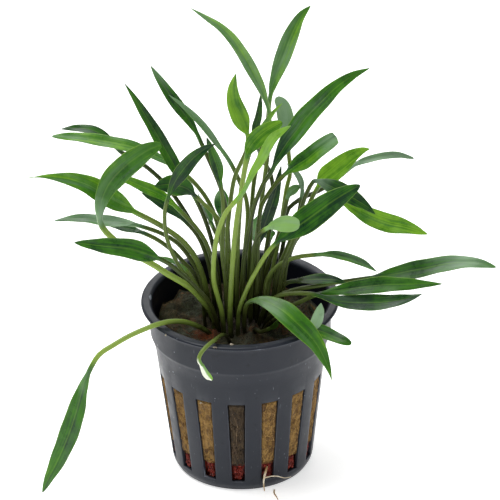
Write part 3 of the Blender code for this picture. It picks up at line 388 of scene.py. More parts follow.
# how each leaf looks: light 0 is deep blue-green and 1 is fresh yellow-green; pale is the grey-green of an
# underside, and on some blades a painted grey sheen; stalk is as light, set darker on stalks that stand behind as
# partly painted shade; shade is how much darker the blade is near its stalk; half is how much darker the blade's right
# half is, painted shade on a folded blade; the sheen patch is a pale painted reflection, with its amount and where
# along the blade it starts and ends, 0 being the tip
leafTones = {
    "leaf_top_1": dict(light=0.55, pale=0.42, stalk=0.4, half=-0.25),
    "leaf_top_2": dict(light=0.42, pale=0.2, stalk=0.35, half=-0.2, bloom=(0.35, 0.3, 0.9)),
    "leaf_top_3": dict(light=0.85, pale=0.0, stalk=0.45, half=0.15),
    "leaf_top_4": dict(light=0.15, pale=0.1, stalk=0.2),
    "leaf_top_5": dict(light=0.6, pale=0.9, stalk=0.55),
    "leaf_top_6": dict(light=0.8, pale=0.2, stalk=0.5),
    "leaf_right_1": dict(light=0.3, pale=0.04, stalk=0.2, shade=0.3, half=-0.1, bloom=(0.25, 0.3, 0.95)),
    "leaf_right_2": dict(light=0.25, pale=0.12, stalk=0.25, half=-0.35, bloom=(0.5, -0.3, 0.45)),
    "leaf_right_3": dict(light=0.78, pale=0.08, stalk=0.3, half=0.05),
    "leaf_right_4": dict(light=0.78, pale=0.08, stalk=0.35, half=0.1),
    "leaf_right_13": dict(light=0.12, pale=0.06, stalk=0.25, bloom=(0.6, 0.7, 1.1)),
    "leaf_right_5": dict(light=0.2, pale=0.6, stalk=0.05),
    "leaf_right_6": dict(light=0.2, pale=0.65, stalk=0.3),
    "leaf_right_7": dict(light=0.45, pale=0.5, stalk=0.3),
    "leaf_right_8": dict(light=0.26, pale=0.03, stalk=0.8, half=0.12),
    "leaf_middle_1": dict(light=0.85, pale=0.7, stalk=0.1),
    "leaf_middle_2": dict(light=0.06, pale=0.05, stalk=0.1),
    "leaf_right_9": dict(light=0.35, pale=0.35, stalk=0.5, half=-0.2),
    "leaf_right_10": dict(light=0.32, pale=0.1, stalk=0.25, bloom=(0.55, -0.2, 0.55)),
    "leaf_right_11": dict(light=0.15, pale=0.12, stalk=0.3),
    "leaf_right_12": dict(light=0.34, pale=-0.1, stalk=0.4),
    "leaf_right_14": dict(light=0.15, pale=0.2, stalk=0.45),
    "leaf_front_1": dict(light=0.4, pale=0.12, stalk=0.4, shade=-0.1, bloom=(0.4, 0.6, 1.1)),
    "leaf_front_2": dict(light=0.55, pale=0.9, stalk=0.45),
    "leaf_front_3": dict(light=0.3, pale=0.1, stalk=0.3, half=-0.15),
    "leaf_front_4": dict(light=0.3, pale=0.05, stalk=0.3),
    "leaf_front_5": dict(light=0.8, pale=0.3, stalk=0.6, white=0.95),
    "leaf_left_1": dict(light=0.25, pale=0.06, stalk=0.2, bloom=(0.5, -0.4, 0.4)),
    "leaf_left_2": dict(light=0.5, pale=0.55, stalk=0.4),
    "leaf_left_3": dict(light=0.4, pale=0.08, stalk=0.15, half=0.2),
    "leaf_left_4": dict(light=0.08, pale=0.2, stalk=0.1),
    "leaf_left_5": dict(light=0.62, pale=0.3, stalk=0.4, half=0.1),
    "leaf_left_6": dict(light=0.42, pale=0.16, stalk=0.85, bloom=(0.6, 0.72, 1.05)),
    "leaf_left_7": dict(light=0.5, pale=0.22, stalk=0.45, half=-0.15),
    "leaf_left_8": dict(light=0.2, pale=0.5, stalk=0.3),
    "leaf_left_9": dict(light=0.08, pale=0.12, stalk=0.3),
    "leaf_left_10": dict(light=0.28, pale=0.12, stalk=0.2),
    "leaf_left_11": dict(light=0.5, pale=0.5, stalk=0.5),
    "leaf_left_12": dict(light=0.1, pale=0.04, stalk=0.35),
    "leaf_left_13": dict(light=0.2, pale=0.04, stalk=0.5),
    "leaf_left_14": dict(light=0.6, pale=0.12, stalk=0.35),
    "leaf_left_15": dict(light=0.15, pale=0.06, stalk=0.3),
    "leaf_left_16": dict(light=0.12, pale=0.1, stalk=0.35, half=-0.3),
    "leaf_middle_3": dict(light=0.62, pale=0.04, stalk=0.8, half=0.05),
    "leaf_middle_4": dict(light=0.9, pale=0.35, stalk=0.85),
    "leaf_hanging": dict(light=0.32, pale=0.08, stalk=0.85, half=-0.1, bloom=(0.3, 0.75, 1.1)),
    "leaf_back_1": dict(light=0.2, pale=0.1, stalk=0.2),
    "leaf_back_2": dict(light=0.25, pale=0.1, stalk=0.2),
    "leaf_back_3": dict(light=0.2, pale=0.1, stalk=0.2),
    "leaf_back_4": dict(light=0.3, pale=0.1, stalk=0.2),
}

leafForm = {
    "crown": 42.9,              # height of the wool that the stalks grow out of
    "bladeRings": 44, "stalkRings": 26, "around": 20,
    "thick": 0.42,              # blade thickness beside its midrib
    "rib": 0.14,                # depth of the midrib's groove
    "ripple": 0.16,             # how far the margin waves up and down
    "rippleStep": 9.0,          # length of one wave along the margin
}

leafFinish = {
    "deep": "#12331a", "middle": "#386e16", "fresh": "#7aac28",
    "margin": "#8fb648", "pale": "#8fae8c", "white": "#f1f4e2",
    # crown is painted shade where the stalks leave the wool; sheath is the leaf bases' brown, laid on wide as painted
    # shade too
    "stalkDark": "#27340f", "stalkFresh": "#87a146", "crown": "#1d1b0d", "sheathAndShade": "#3b3f1c",
    "roughness": 0.3, "gloss": 0.32,               # gloss is the specular level of the wax
}


# points at even steps along a smooth curve through the given ones
def evenCurve(points, count):
    rough = []
    last = len(points) - 1
    for step in range(last):
        before, start = points[max(step - 1, 0)], points[step]
        end, after = points[step + 1], points[min(step + 2, last)]
        for part in range(8):
            t = part / 8
            rough.append(0.5 * (2 * start + (end - before) * t + (2 * before - 5 * start + 4 * end - after) * t * t
                                + (3 * start - before - 3 * end + after) * t ** 3))
    rough.append(points[-1])
    reach = [0.0]
    for start, end in zip(rough, rough[1:]):
        reach.append(reach[-1] + (end - start).length)
    even = []
    place = 0
    for step in range(count + 1):
        want = reach[-1] * step / count
        while place < len(rough) - 2 and reach[place + 1] < want:
            place += 1
        share = (want - reach[place]) / max(reach[place + 1] - reach[place], 1e-9)
        even.append(rough[place].lerp(rough[place + 1], share))
    return even


# evenly placed values read at a share of the way
def valueAt(values, share):
    place = share * (len(values) - 1)
    step = min(int(place), len(values) - 2)
    t = place - step
    before, start = values[max(step - 1, 0)], values[step]
    end, after = values[step + 1], values[min(step + 2, len(values) - 1)]
    return 0.5 * (2 * start + (end - before) * t + (2 * before - 5 * start + 4 * end - after) * t * t
                  + (3 * start - before - 3 * end + after) * t ** 3)


# a leaf's middle line in space, and the share of it that is blade
def leafSpine(leaf, count):
    up = math.radians(view["lookUp"])
    footUp = leafForm["crown"] * math.cos(up) + leaf["back"][-1] * math.sin(up)
    drawn = [Vector((across, high, 0)) for across, high in leaf["run"]] + [Vector((leaf["foot"], footUp, 0))]
    lengths = [0.0]
    for start, end in zip(drawn, drawn[1:]):
        lengths.append(lengths[-1] + (end - start).length)
    spine = []
    for step, point in enumerate(evenCurve(drawn, count)):
        back = valueAt(leaf["back"], step / count)
        spine.append(Vector((point.x, back, (point.y - back * math.sin(up)) / math.cos(up))))
    return spine, lengths[leaf["joint"]] / lengths[-1]


# the blade's width at a share of its length from the tip, against its full width
def bladeShare(t, leaf):
    widest = leaf["widest"]
    if t < widest:
        return math.sin(0.5 * math.pi * t / widest) ** leaf.get("tip", 0.85)
    return max(math.cos(0.5 * math.pi * (t - widest) / (1 - widest)), 0.0) ** 1.1


def makeLeaf(node, leaf, tone, material, seed):
    fine = 240
    spine, blade = leafSpine(leaf, fine)
    stalk = leaf.get("stalk", 1.2)
    face = Vector(leaf["face"]).normalized()
    fold = math.radians(leaf["fold"])
    rings = leafForm["bladeRings"]
    shares = [0.004 + (blade - 0.004) * (step / rings) ** 1.15 for step in range(rings)]
    shares += [blade + (1 - blade) * step / leafForm["stalkRings"] for step in range(leafForm["stalkRings"] + 1)]
    around = leafForm["around"]
    length = sum((b - a).length for a, b in zip(spine, spine[1:]))
    points = [tuple(spine[0])]
    across, under, along, sideways, lengthways = [0.0], [0.0], [0.0], [0.0], [0.0]
    swing = rnd.uniform(0, 6.28)
    for share in shares:
        place = share * fine
        low = min(int(place), fine - 1)
        centre = spine[low].lerp(spine[low + 1], place - low)
        tangent = (spine[max(low - 4, 0)] - spine[min(low + 5, fine)]).normalized()
        side = tangent.cross(face).normalized()
        up = side.cross(tangent).normalized()
        t = min(share / blade, 1.0)
        half = max(leaf["width"] / 2 * bladeShare(t, leaf), stalk / 2 * min(1.0, 0.12 + t))
        spread = min(max(0.0, (half * 2 - stalk) / max(leaf["width"] - stalk, 0.1)) * 2.2, 1.0)
        flat = max(spread, smoothStep(0.9, 0.5, t))
        lift = fold * spread
        wave = leafForm["ripple"] * spread * math.sin(share * length / leafForm["rippleStep"] * 6.28 + swing)
        thin = leafForm["thick"] / 2 * min(1.0, 0.25 + t * 8)
        for step in range(around):
            turn = 2 * math.pi * (step + 0.5) / around
            u, v = math.cos(turn), math.sin(turn)
            rib = leafForm["rib"] * math.exp(-(u * half / 0.35) ** 2) * min(1.0, t * 5)
            body = v * thin * (0.3 + 0.7 * (1 - abs(u))) - rib * (1.0 if v > 0 else 1.8)
            body += half * math.sin(lift) * abs(u) ** 1.25 + wave * u * abs(u)
            x = half * u * (1 - (1 - math.cos(lift)) * flat)
            y = body * flat + half * v * (1 - flat)
            points.append(tuple(centre + side * x + up * y))
            across.append(u)
            under.append(0.0 if math.sin(turn) > 0 else 1.0)
            along.append(share / blade)
            sideways.append(half * u)
            lengthways.append(share * length)
    faces = [(0, 1 + step, 1 + (step + 1) % around) for step in range(around)]
    for ring in range(len(shares) - 1):
        start = 1 + ring * around
        for step in range(around):
            after = (step + 1) % around
            faces.append((start + step, start + after, start + after + around, start + step + around))
    faces.append(tuple(range(1 + (len(shares) - 1) * around, 1 + len(shares) * around)))
    piece = makePiece(node.replace("leaf_", "cryptLeaf_"), points, faces, material, [node], 0)
    bloomAmount, bloomFrom, bloomTo = tone.get("bloom", (0.0, 0.0, 1.0))
    middle, spread = (bloomFrom + bloomTo) / 2, (bloomTo - bloomFrom) / 2
    light, pale, white = [], [], []
    for index, point in enumerate(points):
        t = along[index]
        onStalk = smoothStep(0.92, 1.08, t)
        # half paints shade on one half of a folded blade
        value = tone["light"] - tone.get("half", 0.0) * smoothStep(-0.15, 0.15, across[index])
        value -= tone.get("shade", 0.0) * smoothStep(0.4, 0.95, t)
        # the stalk tone, set darker on stalks that stand behind, is partly painted shade
        light.append(value * (1 - onStalk) + tone["stalk"] * onStalk)
        # the sheen patch is a painted reflection, added into the pale tone
        patch = bloomAmount * max(0.0, 1 - abs(t - middle) / max(spread, 0.01)) ** 0.6 if bloomAmount else 0.0
        pale.append(min(tone["pale"] + patch, 1.0) * (1 - onStalk) + 0.1 * onStalk)
        white.append(tone.get("white", 0.0) * (1 - onStalk) * smoothStep(-0.2, 0.1, across[index]))
    storeValues(piece, "across", across)
    storeValues(piece, "under", under)
    storeValues(piece, "along", along)
    storeValues(piece, "sideways", sideways)
    storeValues(piece, "lengthways", lengthways)
    storeValues(piece, "seed", [float(seed)] * len(points))
    storeValues(piece, "lightness", light)
    storeValues(piece, "paleness", pale)
    storeValues(piece, "whiteness", white)
    storeValues(piece, "fromFoot", [length - reach for reach in lengthways])
    return piece


# living leaf under a waxy cuticle: satin gloss over soft tissue, fine veins and streaks along the blade
def leafMaterial():
    look = leafFinish
    material, tree = newMaterial("waxyLeafCuticle")
    read = {name: addNode(tree, "ShaderNodeAttribute", {"attribute_name": name})
            for name in ("across", "under", "along", "lightness", "paleness", "whiteness", "fromFoot",
                         "sideways", "lengthways", "seed")}
    place = addNode(tree, "ShaderNodeTexCoord")
    # streaks 1.4 mm wide and 14 mm long, veins 0.3 mm apart, cloudy patches 5 mm across
    plan = addNode(tree, "ShaderNodeCombineXYZ", in0=(read["sideways"], 2), in1=(read["lengthways"], 2),
                   in2=(read["seed"], 2))
    streakPlace = addNode(tree, "ShaderNodeMapping", in0=(plan, 0), Scale=(1 / 1.4, 1 / 14, 3.7))
    veinPlace = addNode(tree, "ShaderNodeMapping", in0=(plan, 0), Scale=(1 / 0.3, 1 / 22, 3.7))
    streaks = addNode(tree, "ShaderNodeTexNoise", in0=(streakPlace, 0), Scale=1.0, Detail=3.0, Roughness=0.55)
    veins = addNode(tree, "ShaderNodeTexNoise", in0=(veinPlace, 0), Scale=1.0, Detail=2.0)
    clouds = addNode(tree, "ShaderNodeTexNoise", in0=(place, 3), Scale=1000 / 5.0, Detail=4.0, Roughness=0.6)
    grain = addNode(tree, "ShaderNodeTexNoise", in0=(place, 3), Scale=1000 / 0.5, Detail=2.0)
    aside = sums(tree, "ABSOLUTE", (read["across"], 2), 0.0)
    shift = ramp(tree, (streaks, 0), 0.3, 0.7, -0.08, 0.08)
    cloudShift = ramp(tree, (clouds, 0), 0.3, 0.7, -0.13, 0.13)
    veinShift = ramp(tree, (veins, 0), 0.35, 0.65, -0.09, 0.09)
    core = ramp(tree, (aside, 0), 0.1, 0.75, -0.03, 0.03)
    tone = sums(tree, "ADD", (read["lightness"], 2), (shift, 0))
    for part in (cloudShift, veinShift, core):
        tone = sums(tree, "ADD", (tone, 0), (part, 0))
    low = ramp(tree, (tone, 0), 0.0, 0.5)
    high = ramp(tree, (tone, 0), 0.45, 1.05)
    green = mixColour(tree, (low, 0), hexColour(look["deep"]), hexColour(look["middle"]))
    green = mixColour(tree, (high, 0), (green, 2), hexColour(look["fresh"]))
    # a thin light margin, and a midrib that is only a little lighter
    edge = ramp(tree, (aside, 0), 0.88, 1.0, 0.0, 0.6)
    green = mixColour(tree, (edge, 0), (green, 2), hexColour(look["margin"]))
    rib = ramp(tree, (aside, 0), 0.09, 0.02, 0.0, 0.16)
    green = mixColour(tree, (rib, 0), (green, 2), hexColour(look["margin"]))
    # pale grey-green: the underside's own colour, and painted sheen where a leaf's pale value or sheen patch sets it
    below = sums(tree, "MULTIPLY", (read["under"], 2), 0.45)
    paleSum = sums(tree, "ADD", (read["paleness"], 2), (below, 0))
    paleShift = ramp(tree, (streaks, 0), 0.3, 0.7, 0.16, -0.16)
    paleSum = sums(tree, "ADD", (paleSum, 0), (paleShift, 0))
    paleShare = ramp(tree, (paleSum, 0), 0.05, 1.1)
    soft = mixColour(tree, 0.2, hexColour(look["pale"]), (green, 2))
    green = mixColour(tree, (paleShare, 0), (green, 2), (soft, 2))
    # the stalk is a plainer green; toward its foot it turns the sheath's brown, partly its own colour and partly
    # painted shade, and near black at the crown, which is painted shade
    stalkTone = sums(tree, "ADD", (read["lightness"], 2), (veinShift, 0))
    stalkShare = ramp(tree, (stalkTone, 0), 0.0, 0.9)
    stalk = mixColour(tree, (stalkShare, 0), hexColour(look["stalkDark"]), hexColour(look["stalkFresh"]))
    onStalk = ramp(tree, (read["along"], 2), 0.94, 1.06)
    colour = mixColour(tree, (onStalk, 0), (green, 2), (stalk, 2))
    wander = ramp(tree, (clouds, 0), 0.3, 0.7, -2.5, 2.5)
    upStalk = sums(tree, "ADD", (read["fromFoot"], 2), (wander, 0))
    sheathAndShade = ramp(tree, (upStalk, 0), 26.0, 7.0, 0.0, 0.8)
    fading = ramp(tree, (read["lightness"], 2), 0.85, 0.35, 0.35, 1.0)
    sheathAndShade = sums(tree, "MULTIPLY", (sheathAndShade, 0), (fading, 0))
    colour = mixColour(tree, (sheathAndShade, 0), (colour, 2), hexColour(look["sheathAndShade"]))
    # painted shade: near black where the stalks leave the crown
    crownShade = ramp(tree, (upStalk, 0), 11.0, 2.0, 0.0, 0.95)
    colour = mixColour(tree, (crownShade, 0), (colour, 2), hexColour(look["crown"]))
    colour = mixColour(tree, (read["whiteness"], 2), (colour, 2), hexColour(look["white"]))
    # bump: veins 0.04 mm high and a fine cell grain
    height = sums(tree, "MULTIPLY", (grain, 0), 0.3)
    height = sums(tree, "ADD", (veins, 0), (height, 0))
    bump = addNode(tree, "ShaderNodeBump", Strength=0.6, Distance=0.00004, Height=(height, 0))
    satin = ramp(tree, (clouds, 0), 0.3, 0.7, look["roughness"] - 0.05, look["roughness"] + 0.1)
    shader = addNode(tree, "ShaderNodeBsdfPrincipled", Base_Color=(colour, 2), Roughness=(satin, 0), IOR=1.42,
                     Specular_IOR_Level=look["gloss"], Normal=(bump, 0))
    finishMaterial(tree, shader)
    return material


leafGreen = leafMaterial()
for order, (node, leaf) in enumerate(leafShapes.items()):
    makeLeaf(node, leaf, leafTones[node], leafGreen, order)
print("leaves done:", len(leafShapes))

potForm = {
    "rimTop": 50.0, "rim": 27.0, "rimDepth": 1.3, "neck": 24.9, "wall": 1.0,
    "shoulderTop": 40.5, "shoulderFoot": 36.6, "shoulder": 24.3,
    "bodyTop": 23.3, "bodyFoot": 19.1, "foot": 18.0, "footHeight": 1.9, "floor": 1.3,
    "slots": 15, "firstSlot": -4.0,                # degrees round from the front
    "slotTop": 29.5, "slotFoot": 3.4, "slotTopWidth": 4.8, "slotFootWidth": 3.5,
    "edge": 0.16,                                  # rounding of the slots' edges
}

potFinish = {
    "plastic": "#1f232c", "inside": "#0d101b", "scuffAndHighlight": "#9399a4", "damp": "#12151d",
    "roughness": 0.4, "gloss": 0.26, "scuffing": 0.35,
}


# radius of the tapered body's outside at a height
def bodyRadius(high):
    p = potForm
    share = (high - p["footHeight"]) / (p["shoulderFoot"] - p["footHeight"])
    return p["bodyFoot"] + (p["bodyTop"] - p["bodyFoot"]) * share


# rounds a profile's corners: each corner is (radius, height, rounding)
def roundedProfile(corners, steps=4):
    line = []
    count = len(corners)
    for place, (reach, high, rounding) in enumerate(corners):
        here = Vector((reach, high))
        before = Vector(corners[place - 1][:2])
        after = Vector(corners[(place + 1) % count][:2])
        if not rounding or place in (0, count - 1):
            line.append((reach, high))
            continue
        start = here + (before - here).normalized() * min(rounding, (before - here).length * 0.45)
        end = here + (after - here).normalized() * min(rounding, (after - here).length * 0.45)
        for step in range(steps + 1):
            t = step / steps
            line.append(tuple(start * (1 - t) ** 2 + here * 2 * t * (1 - t) + end * t * t))
    return line


# a closed turned form round the pot's axis; shift(angle, height, reach) moves its points outward
def turnedForm(line, sides, shift=None):
    points, rows, faces = [], [], []
    for reach, high in line:
        if reach < 1e-6:
            rows.append([len(points)] * sides)
            points.append((0, 0, high))
            continue
        rows.append(list(range(len(points), len(points) + sides)))
        for step in range(sides):
            turn = 2 * math.pi * step / sides
            far, up = shift(turn, high, reach) if shift else (reach, high)
            points.append((far * math.sin(turn), -far * math.cos(turn), up))
    for upper, lower in zip(rows, rows[1:]):
        for step in range(sides):
            after = (step + 1) % sides
            corners = tuple(dict.fromkeys((upper[step], upper[after], lower[after], lower[step])))
            if len(corners) > 2:
                faces.append(corners)
    return points, faces


# angles of the wall's columns at a height: in each sector six cells span the slot and six the bar beside it
def wallAngles(high):
    p = potForm
    sector = 2 * math.pi / p["slots"]
    level = min(max(high, p["slotFoot"]), p["slotTop"])
    wide = p["slotFootWidth"] + (p["slotTopWidth"] - p["slotFootWidth"]) * (level - p["slotFoot"]) / (
        p["slotTop"] - p["slotFoot"])
    halfSlot = math.asin(wide / 2 / bodyRadius(level))
    angles = []
    for slot in range(p["slots"]):
        middle = math.radians(p["firstSlot"]) + sector * slot
        angles += [middle + halfSlot * (step / 3 - 1) for step in range(6)]
        angles += [middle + halfSlot + (sector - 2 * halfSlot) * step / 6 for step in range(6)]
    return angles


# injection-moulded polypropylene: satin, bluish grey-black, with handling scuffs and damp smears; convex edges
# lightened, partly wear and partly painted highlight; inner wall darkened as painted shade
def potMaterial():
    look = potFinish
    material, tree = newMaterial("mouldedPolypropylene")
    place = addNode(tree, "ShaderNodeTexCoord")
    geometry = addNode(tree, "ShaderNodeNewGeometry")
    parts = addNode(tree, "ShaderNodeSeparateXYZ", in0=(place, 3))
    smears = addNode(tree, "ShaderNodeTexNoise", in0=(place, 3), Scale=1000 / 5.0, Detail=5.0, Roughness=0.62)
    specks = addNode(tree, "ShaderNodeTexVoronoi", {"feature": "F1"}, in0=(place, 3), Scale=1000 / 1.6)
    speckPick = addNode(tree, "ShaderNodeTexNoise", in0=(place, 3), Scale=1000 / 4.0, Detail=3.0)
    stretch = addNode(tree, "ShaderNodeMapping", in0=(place, 3), Scale=(1, 1, 0.12), Rotation=(0.5, 0.35, 0))
    scratches = addNode(tree, "ShaderNodeTexNoise", in0=(stretch, 0), Scale=1000 / 0.5, Detail=2.0)
    grain = addNode(tree, "ShaderNodeTexNoise", in0=(place, 3), Scale=1000 / 0.25, Detail=2.0)
    damp = ramp(tree, (smears, 0), 0.60, 0.72, 0.0, 0.7)
    base = mixColour(tree, (damp, 0), hexColour(look["plastic"]), hexColour(look["damp"]))
    spot = ramp(tree, (specks, 0), 0.16, 0.05)
    picked = ramp(tree, (speckPick, 0), 0.58, 0.68)
    speckShare = sums(tree, "MULTIPLY", (spot, 0), (picked, 0))
    scratchLine = ramp(tree, (scratches, 0), 0.70, 0.80)
    scratchShare = sums(tree, "MULTIPLY", (scratchLine, 0), look["scuffing"])
    # convex edges lightened with the scuff colour: partly edge wear, partly painted highlight along the rim, step and
    # slot edges
    edgeWearAndHighlight = ramp(tree, (geometry, 7), 0.52, 0.60, 0.0, 0.7)
    scuffsAndEdgeHighlight = sums(tree, "MAXIMUM", (speckShare, 0), (scratchShare, 0))
    scuffsAndEdgeHighlight = sums(tree, "MAXIMUM", (scuffsAndEdgeHighlight, 0), (edgeWearAndHighlight, 0))
    base = mixColour(tree, (scuffsAndEdgeHighlight, 0), (base, 2), hexColour(look["scuffAndHighlight"]))
    # painted shade: the inner wall, nearer the axis than the neck, is a deeper blue-black
    flat = addNode(tree, "ShaderNodeCombineXYZ", in0=(parts, 0), in1=(parts, 1))
    reach = addNode(tree, "ShaderNodeVectorMath", {"operation": "LENGTH"}, in0=(flat, 0))
    innerStart = (potForm["neck"] - potForm["wall"]) * mm
    innerUp = ramp(tree, (parts, 2), 0.0402, 0.0410)
    innerNear = ramp(tree, (reach, 1), innerStart + 0.0003, innerStart + 0.0001)
    inner = sums(tree, "MULTIPLY", (innerUp, 0), (innerNear, 0))
    base = mixColour(tree, (inner, 0), (base, 2), hexColour(look["inside"]))
    bump = addNode(tree, "ShaderNodeBump", Strength=0.25, Distance=0.00003, Height=(grain, 0))
    rough = ramp(tree, (smears, 0), 0.35, 0.75, look["roughness"] + 0.06, look["roughness"] - 0.12)
    shader = addNode(tree, "ShaderNodeBsdfPrincipled", Base_Color=(base, 2), Roughness=(rough, 0), IOR=1.49,
                     Specular_IOR_Level=look["gloss"], Normal=(bump, 0))
    finishMaterial(tree, shader)
    return material


def makePot():
    p = potForm
    inner = p["neck"] - p["wall"]
    lip = p["rimTop"] - p["rimDepth"]
    heights = [p["slotFoot"] + (p["slotTop"] - p["slotFoot"]) * step / 10 for step in range(11)]
    outside = roundedProfile([
        (0, 0, 0), (p["foot"], 0, 0.4), (p["bodyFoot"], p["footHeight"], 0.8), (bodyRadius(p["slotFoot"]),
                                                                              p["slotFoot"], 0)])
    upper = roundedProfile([
        (bodyRadius(p["slotTop"]), p["slotTop"], 0), (p["bodyTop"], p["shoulderFoot"], 1.6),
        (p["shoulder"] - 0.15, p["shoulderTop"] - 0.9, 0.3), (p["shoulder"] + 0.25, p["shoulderTop"], 0.25),
        (p["neck"] - 0.2, lip - 1.2, 0.6), (p["neck"] + 0.5, lip + 0.2, 0.5), (p["rim"] - 0.25, lip + 0.5, 0.25),
        (p["rim"], p["rimTop"] - 0.6, 0.5), (p["rim"] - 0.5, p["rimTop"], 0.5), (inner + 0.7, p["rimTop"], 0.5),
        (inner, p["rimTop"] - 0.8, 0.4), (p["shoulder"] - p["wall"], p["shoulderTop"], 0),
        (p["bodyTop"] - p["wall"], p["shoulderFoot"] - 0.6, 0), (bodyRadius(p["slotTop"]) - p["wall"],
                                                                 p["slotTop"], 0)])
    lower = roundedProfile([
        (bodyRadius(p["slotFoot"]) - p["wall"], p["slotFoot"], 0), (bodyRadius(p["floor"]) - p["wall"], p["floor"],
                                                                    0.3), (0, p["floor"], 0)])
    line = outside[:-1] + [(bodyRadius(high), high) for high in heights] + upper[1:-1]
    line += [(bodyRadius(high) - p["wall"], high) for high in reversed(heights)] + lower[1:]
    firstOut = len(outside) - 1
    lastOut = firstOut + len(heights) - 1
    firstIn = lastOut + len(upper) - 1
    lastIn = firstIn + len(heights) - 1
    columns = 12 * p["slots"]
    points, rows, faces = [], [], []
    for reach, high in line:
        if reach < 1e-6:
            rows.append([len(points)] * columns)
            points.append((0, 0, high))
            continue
        rows.append(list(range(len(points), len(points) + columns)))
        points += [(reach * math.sin(turn), -reach * math.cos(turn), high) for turn in wallAngles(high)]
    for row in range(len(line) - 1):
        slotted = firstOut <= row < lastOut or firstIn <= row < lastIn
        for column in range(columns):
            if slotted and column % 12 < 6:
                continue
            after = (column + 1) % columns
            corners = tuple(dict.fromkeys((rows[row][column], rows[row][after], rows[row + 1][after],
                                           rows[row + 1][column])))
            if len(corners) > 2:
                faces.append(corners)
    for slot in range(p["slots"]):                  # the slots' four inner sides
        first, end = slot * 12, slot * 12 + 6
        for column in range(first, end):
            for out, into in ((firstOut, lastIn), (lastOut, firstIn)):
                faces.append((rows[out][column], rows[out][column + 1], rows[into][column + 1], rows[into][column]))
        for step in range(len(heights) - 1):
            for column in (first, end):
                out, into = firstOut + step, lastIn - step
                faces.append((rows[out][column], rows[out + 1][column], rows[into - 1][column], rows[into][column]))
    piece = makePiece("netPot", points, faces, potMaterial(), ["pot"], 0)
    soften = piece.modifiers.new("slotEdges", "BEVEL")
    soften.width = p["edge"] * mm
    soften.segments = 2
    soften.limit_method = "ANGLE"
    soften.angle_limit = math.radians(60)
    graph = bpy.context.evaluated_depsgraph_get()
    softened = bpy.data.meshes.new_from_object(piece.evaluated_get(graph))
    piece.modifiers.clear()
    piece.data = softened
    softened.shade_smooth()
    softened.set_sharp_from_angle(angle=math.radians(40))
    return piece


makePot()
print("pot done")

fillForm = {
    "gap": 0.3, "padTop": 8.4, "woolTop": 43.2, "swell": 1.1,
    "topFibres": 3200, "sideFibres": 190,           # loose fibres on top, and in each slot
    "crumbs": 900, "granules": 60,                  # peat crumbs on top, and clay grains in each slot
    "flakes": (((-20.2, -17.8, 49.3), 0.28), ((-7.0, -25.9, 50.0), 0.3), ((-2.4, -24.6, 50.0), 0.34),
               ((-11.2, -20.1, 29.2), 0.3)),
    "rust": ((-9.5, -9.0), (14.0, -4.0)),           # where the top is stained with rust
}

# peat is the near black laid round the crown as painted shade, and on the front slot
woolFinish = {
    "dark": "#20180e", "brown": "#5c4120", "gold": "#98753a", "rust": "#8a4519", "moss": "#33371c",
    "grey": "#4f5544", "peat": "#1d160f", "clay": "#8e2c1c", "clayDark": "#4f160f",
}


# the widest that what fills the pot may be
def fillRadius(high):
    p, f = potForm, fillForm
    if high > p["shoulderFoot"]:
        share = min(1.0, (high - p["shoulderFoot"]) / (p["shoulderTop"] - p["shoulderFoot"]))
        return p["bodyTop"] - p["wall"] - f["gap"] - 0.1 + share * (p["shoulder"] - p["bodyTop"])
    return bodyRadius(high) - p["wall"] - f["gap"] - 0.1


def slotAngle(slot):
    return math.radians(potForm["firstSlot"]) + 2 * math.pi / potForm["slots"] * slot


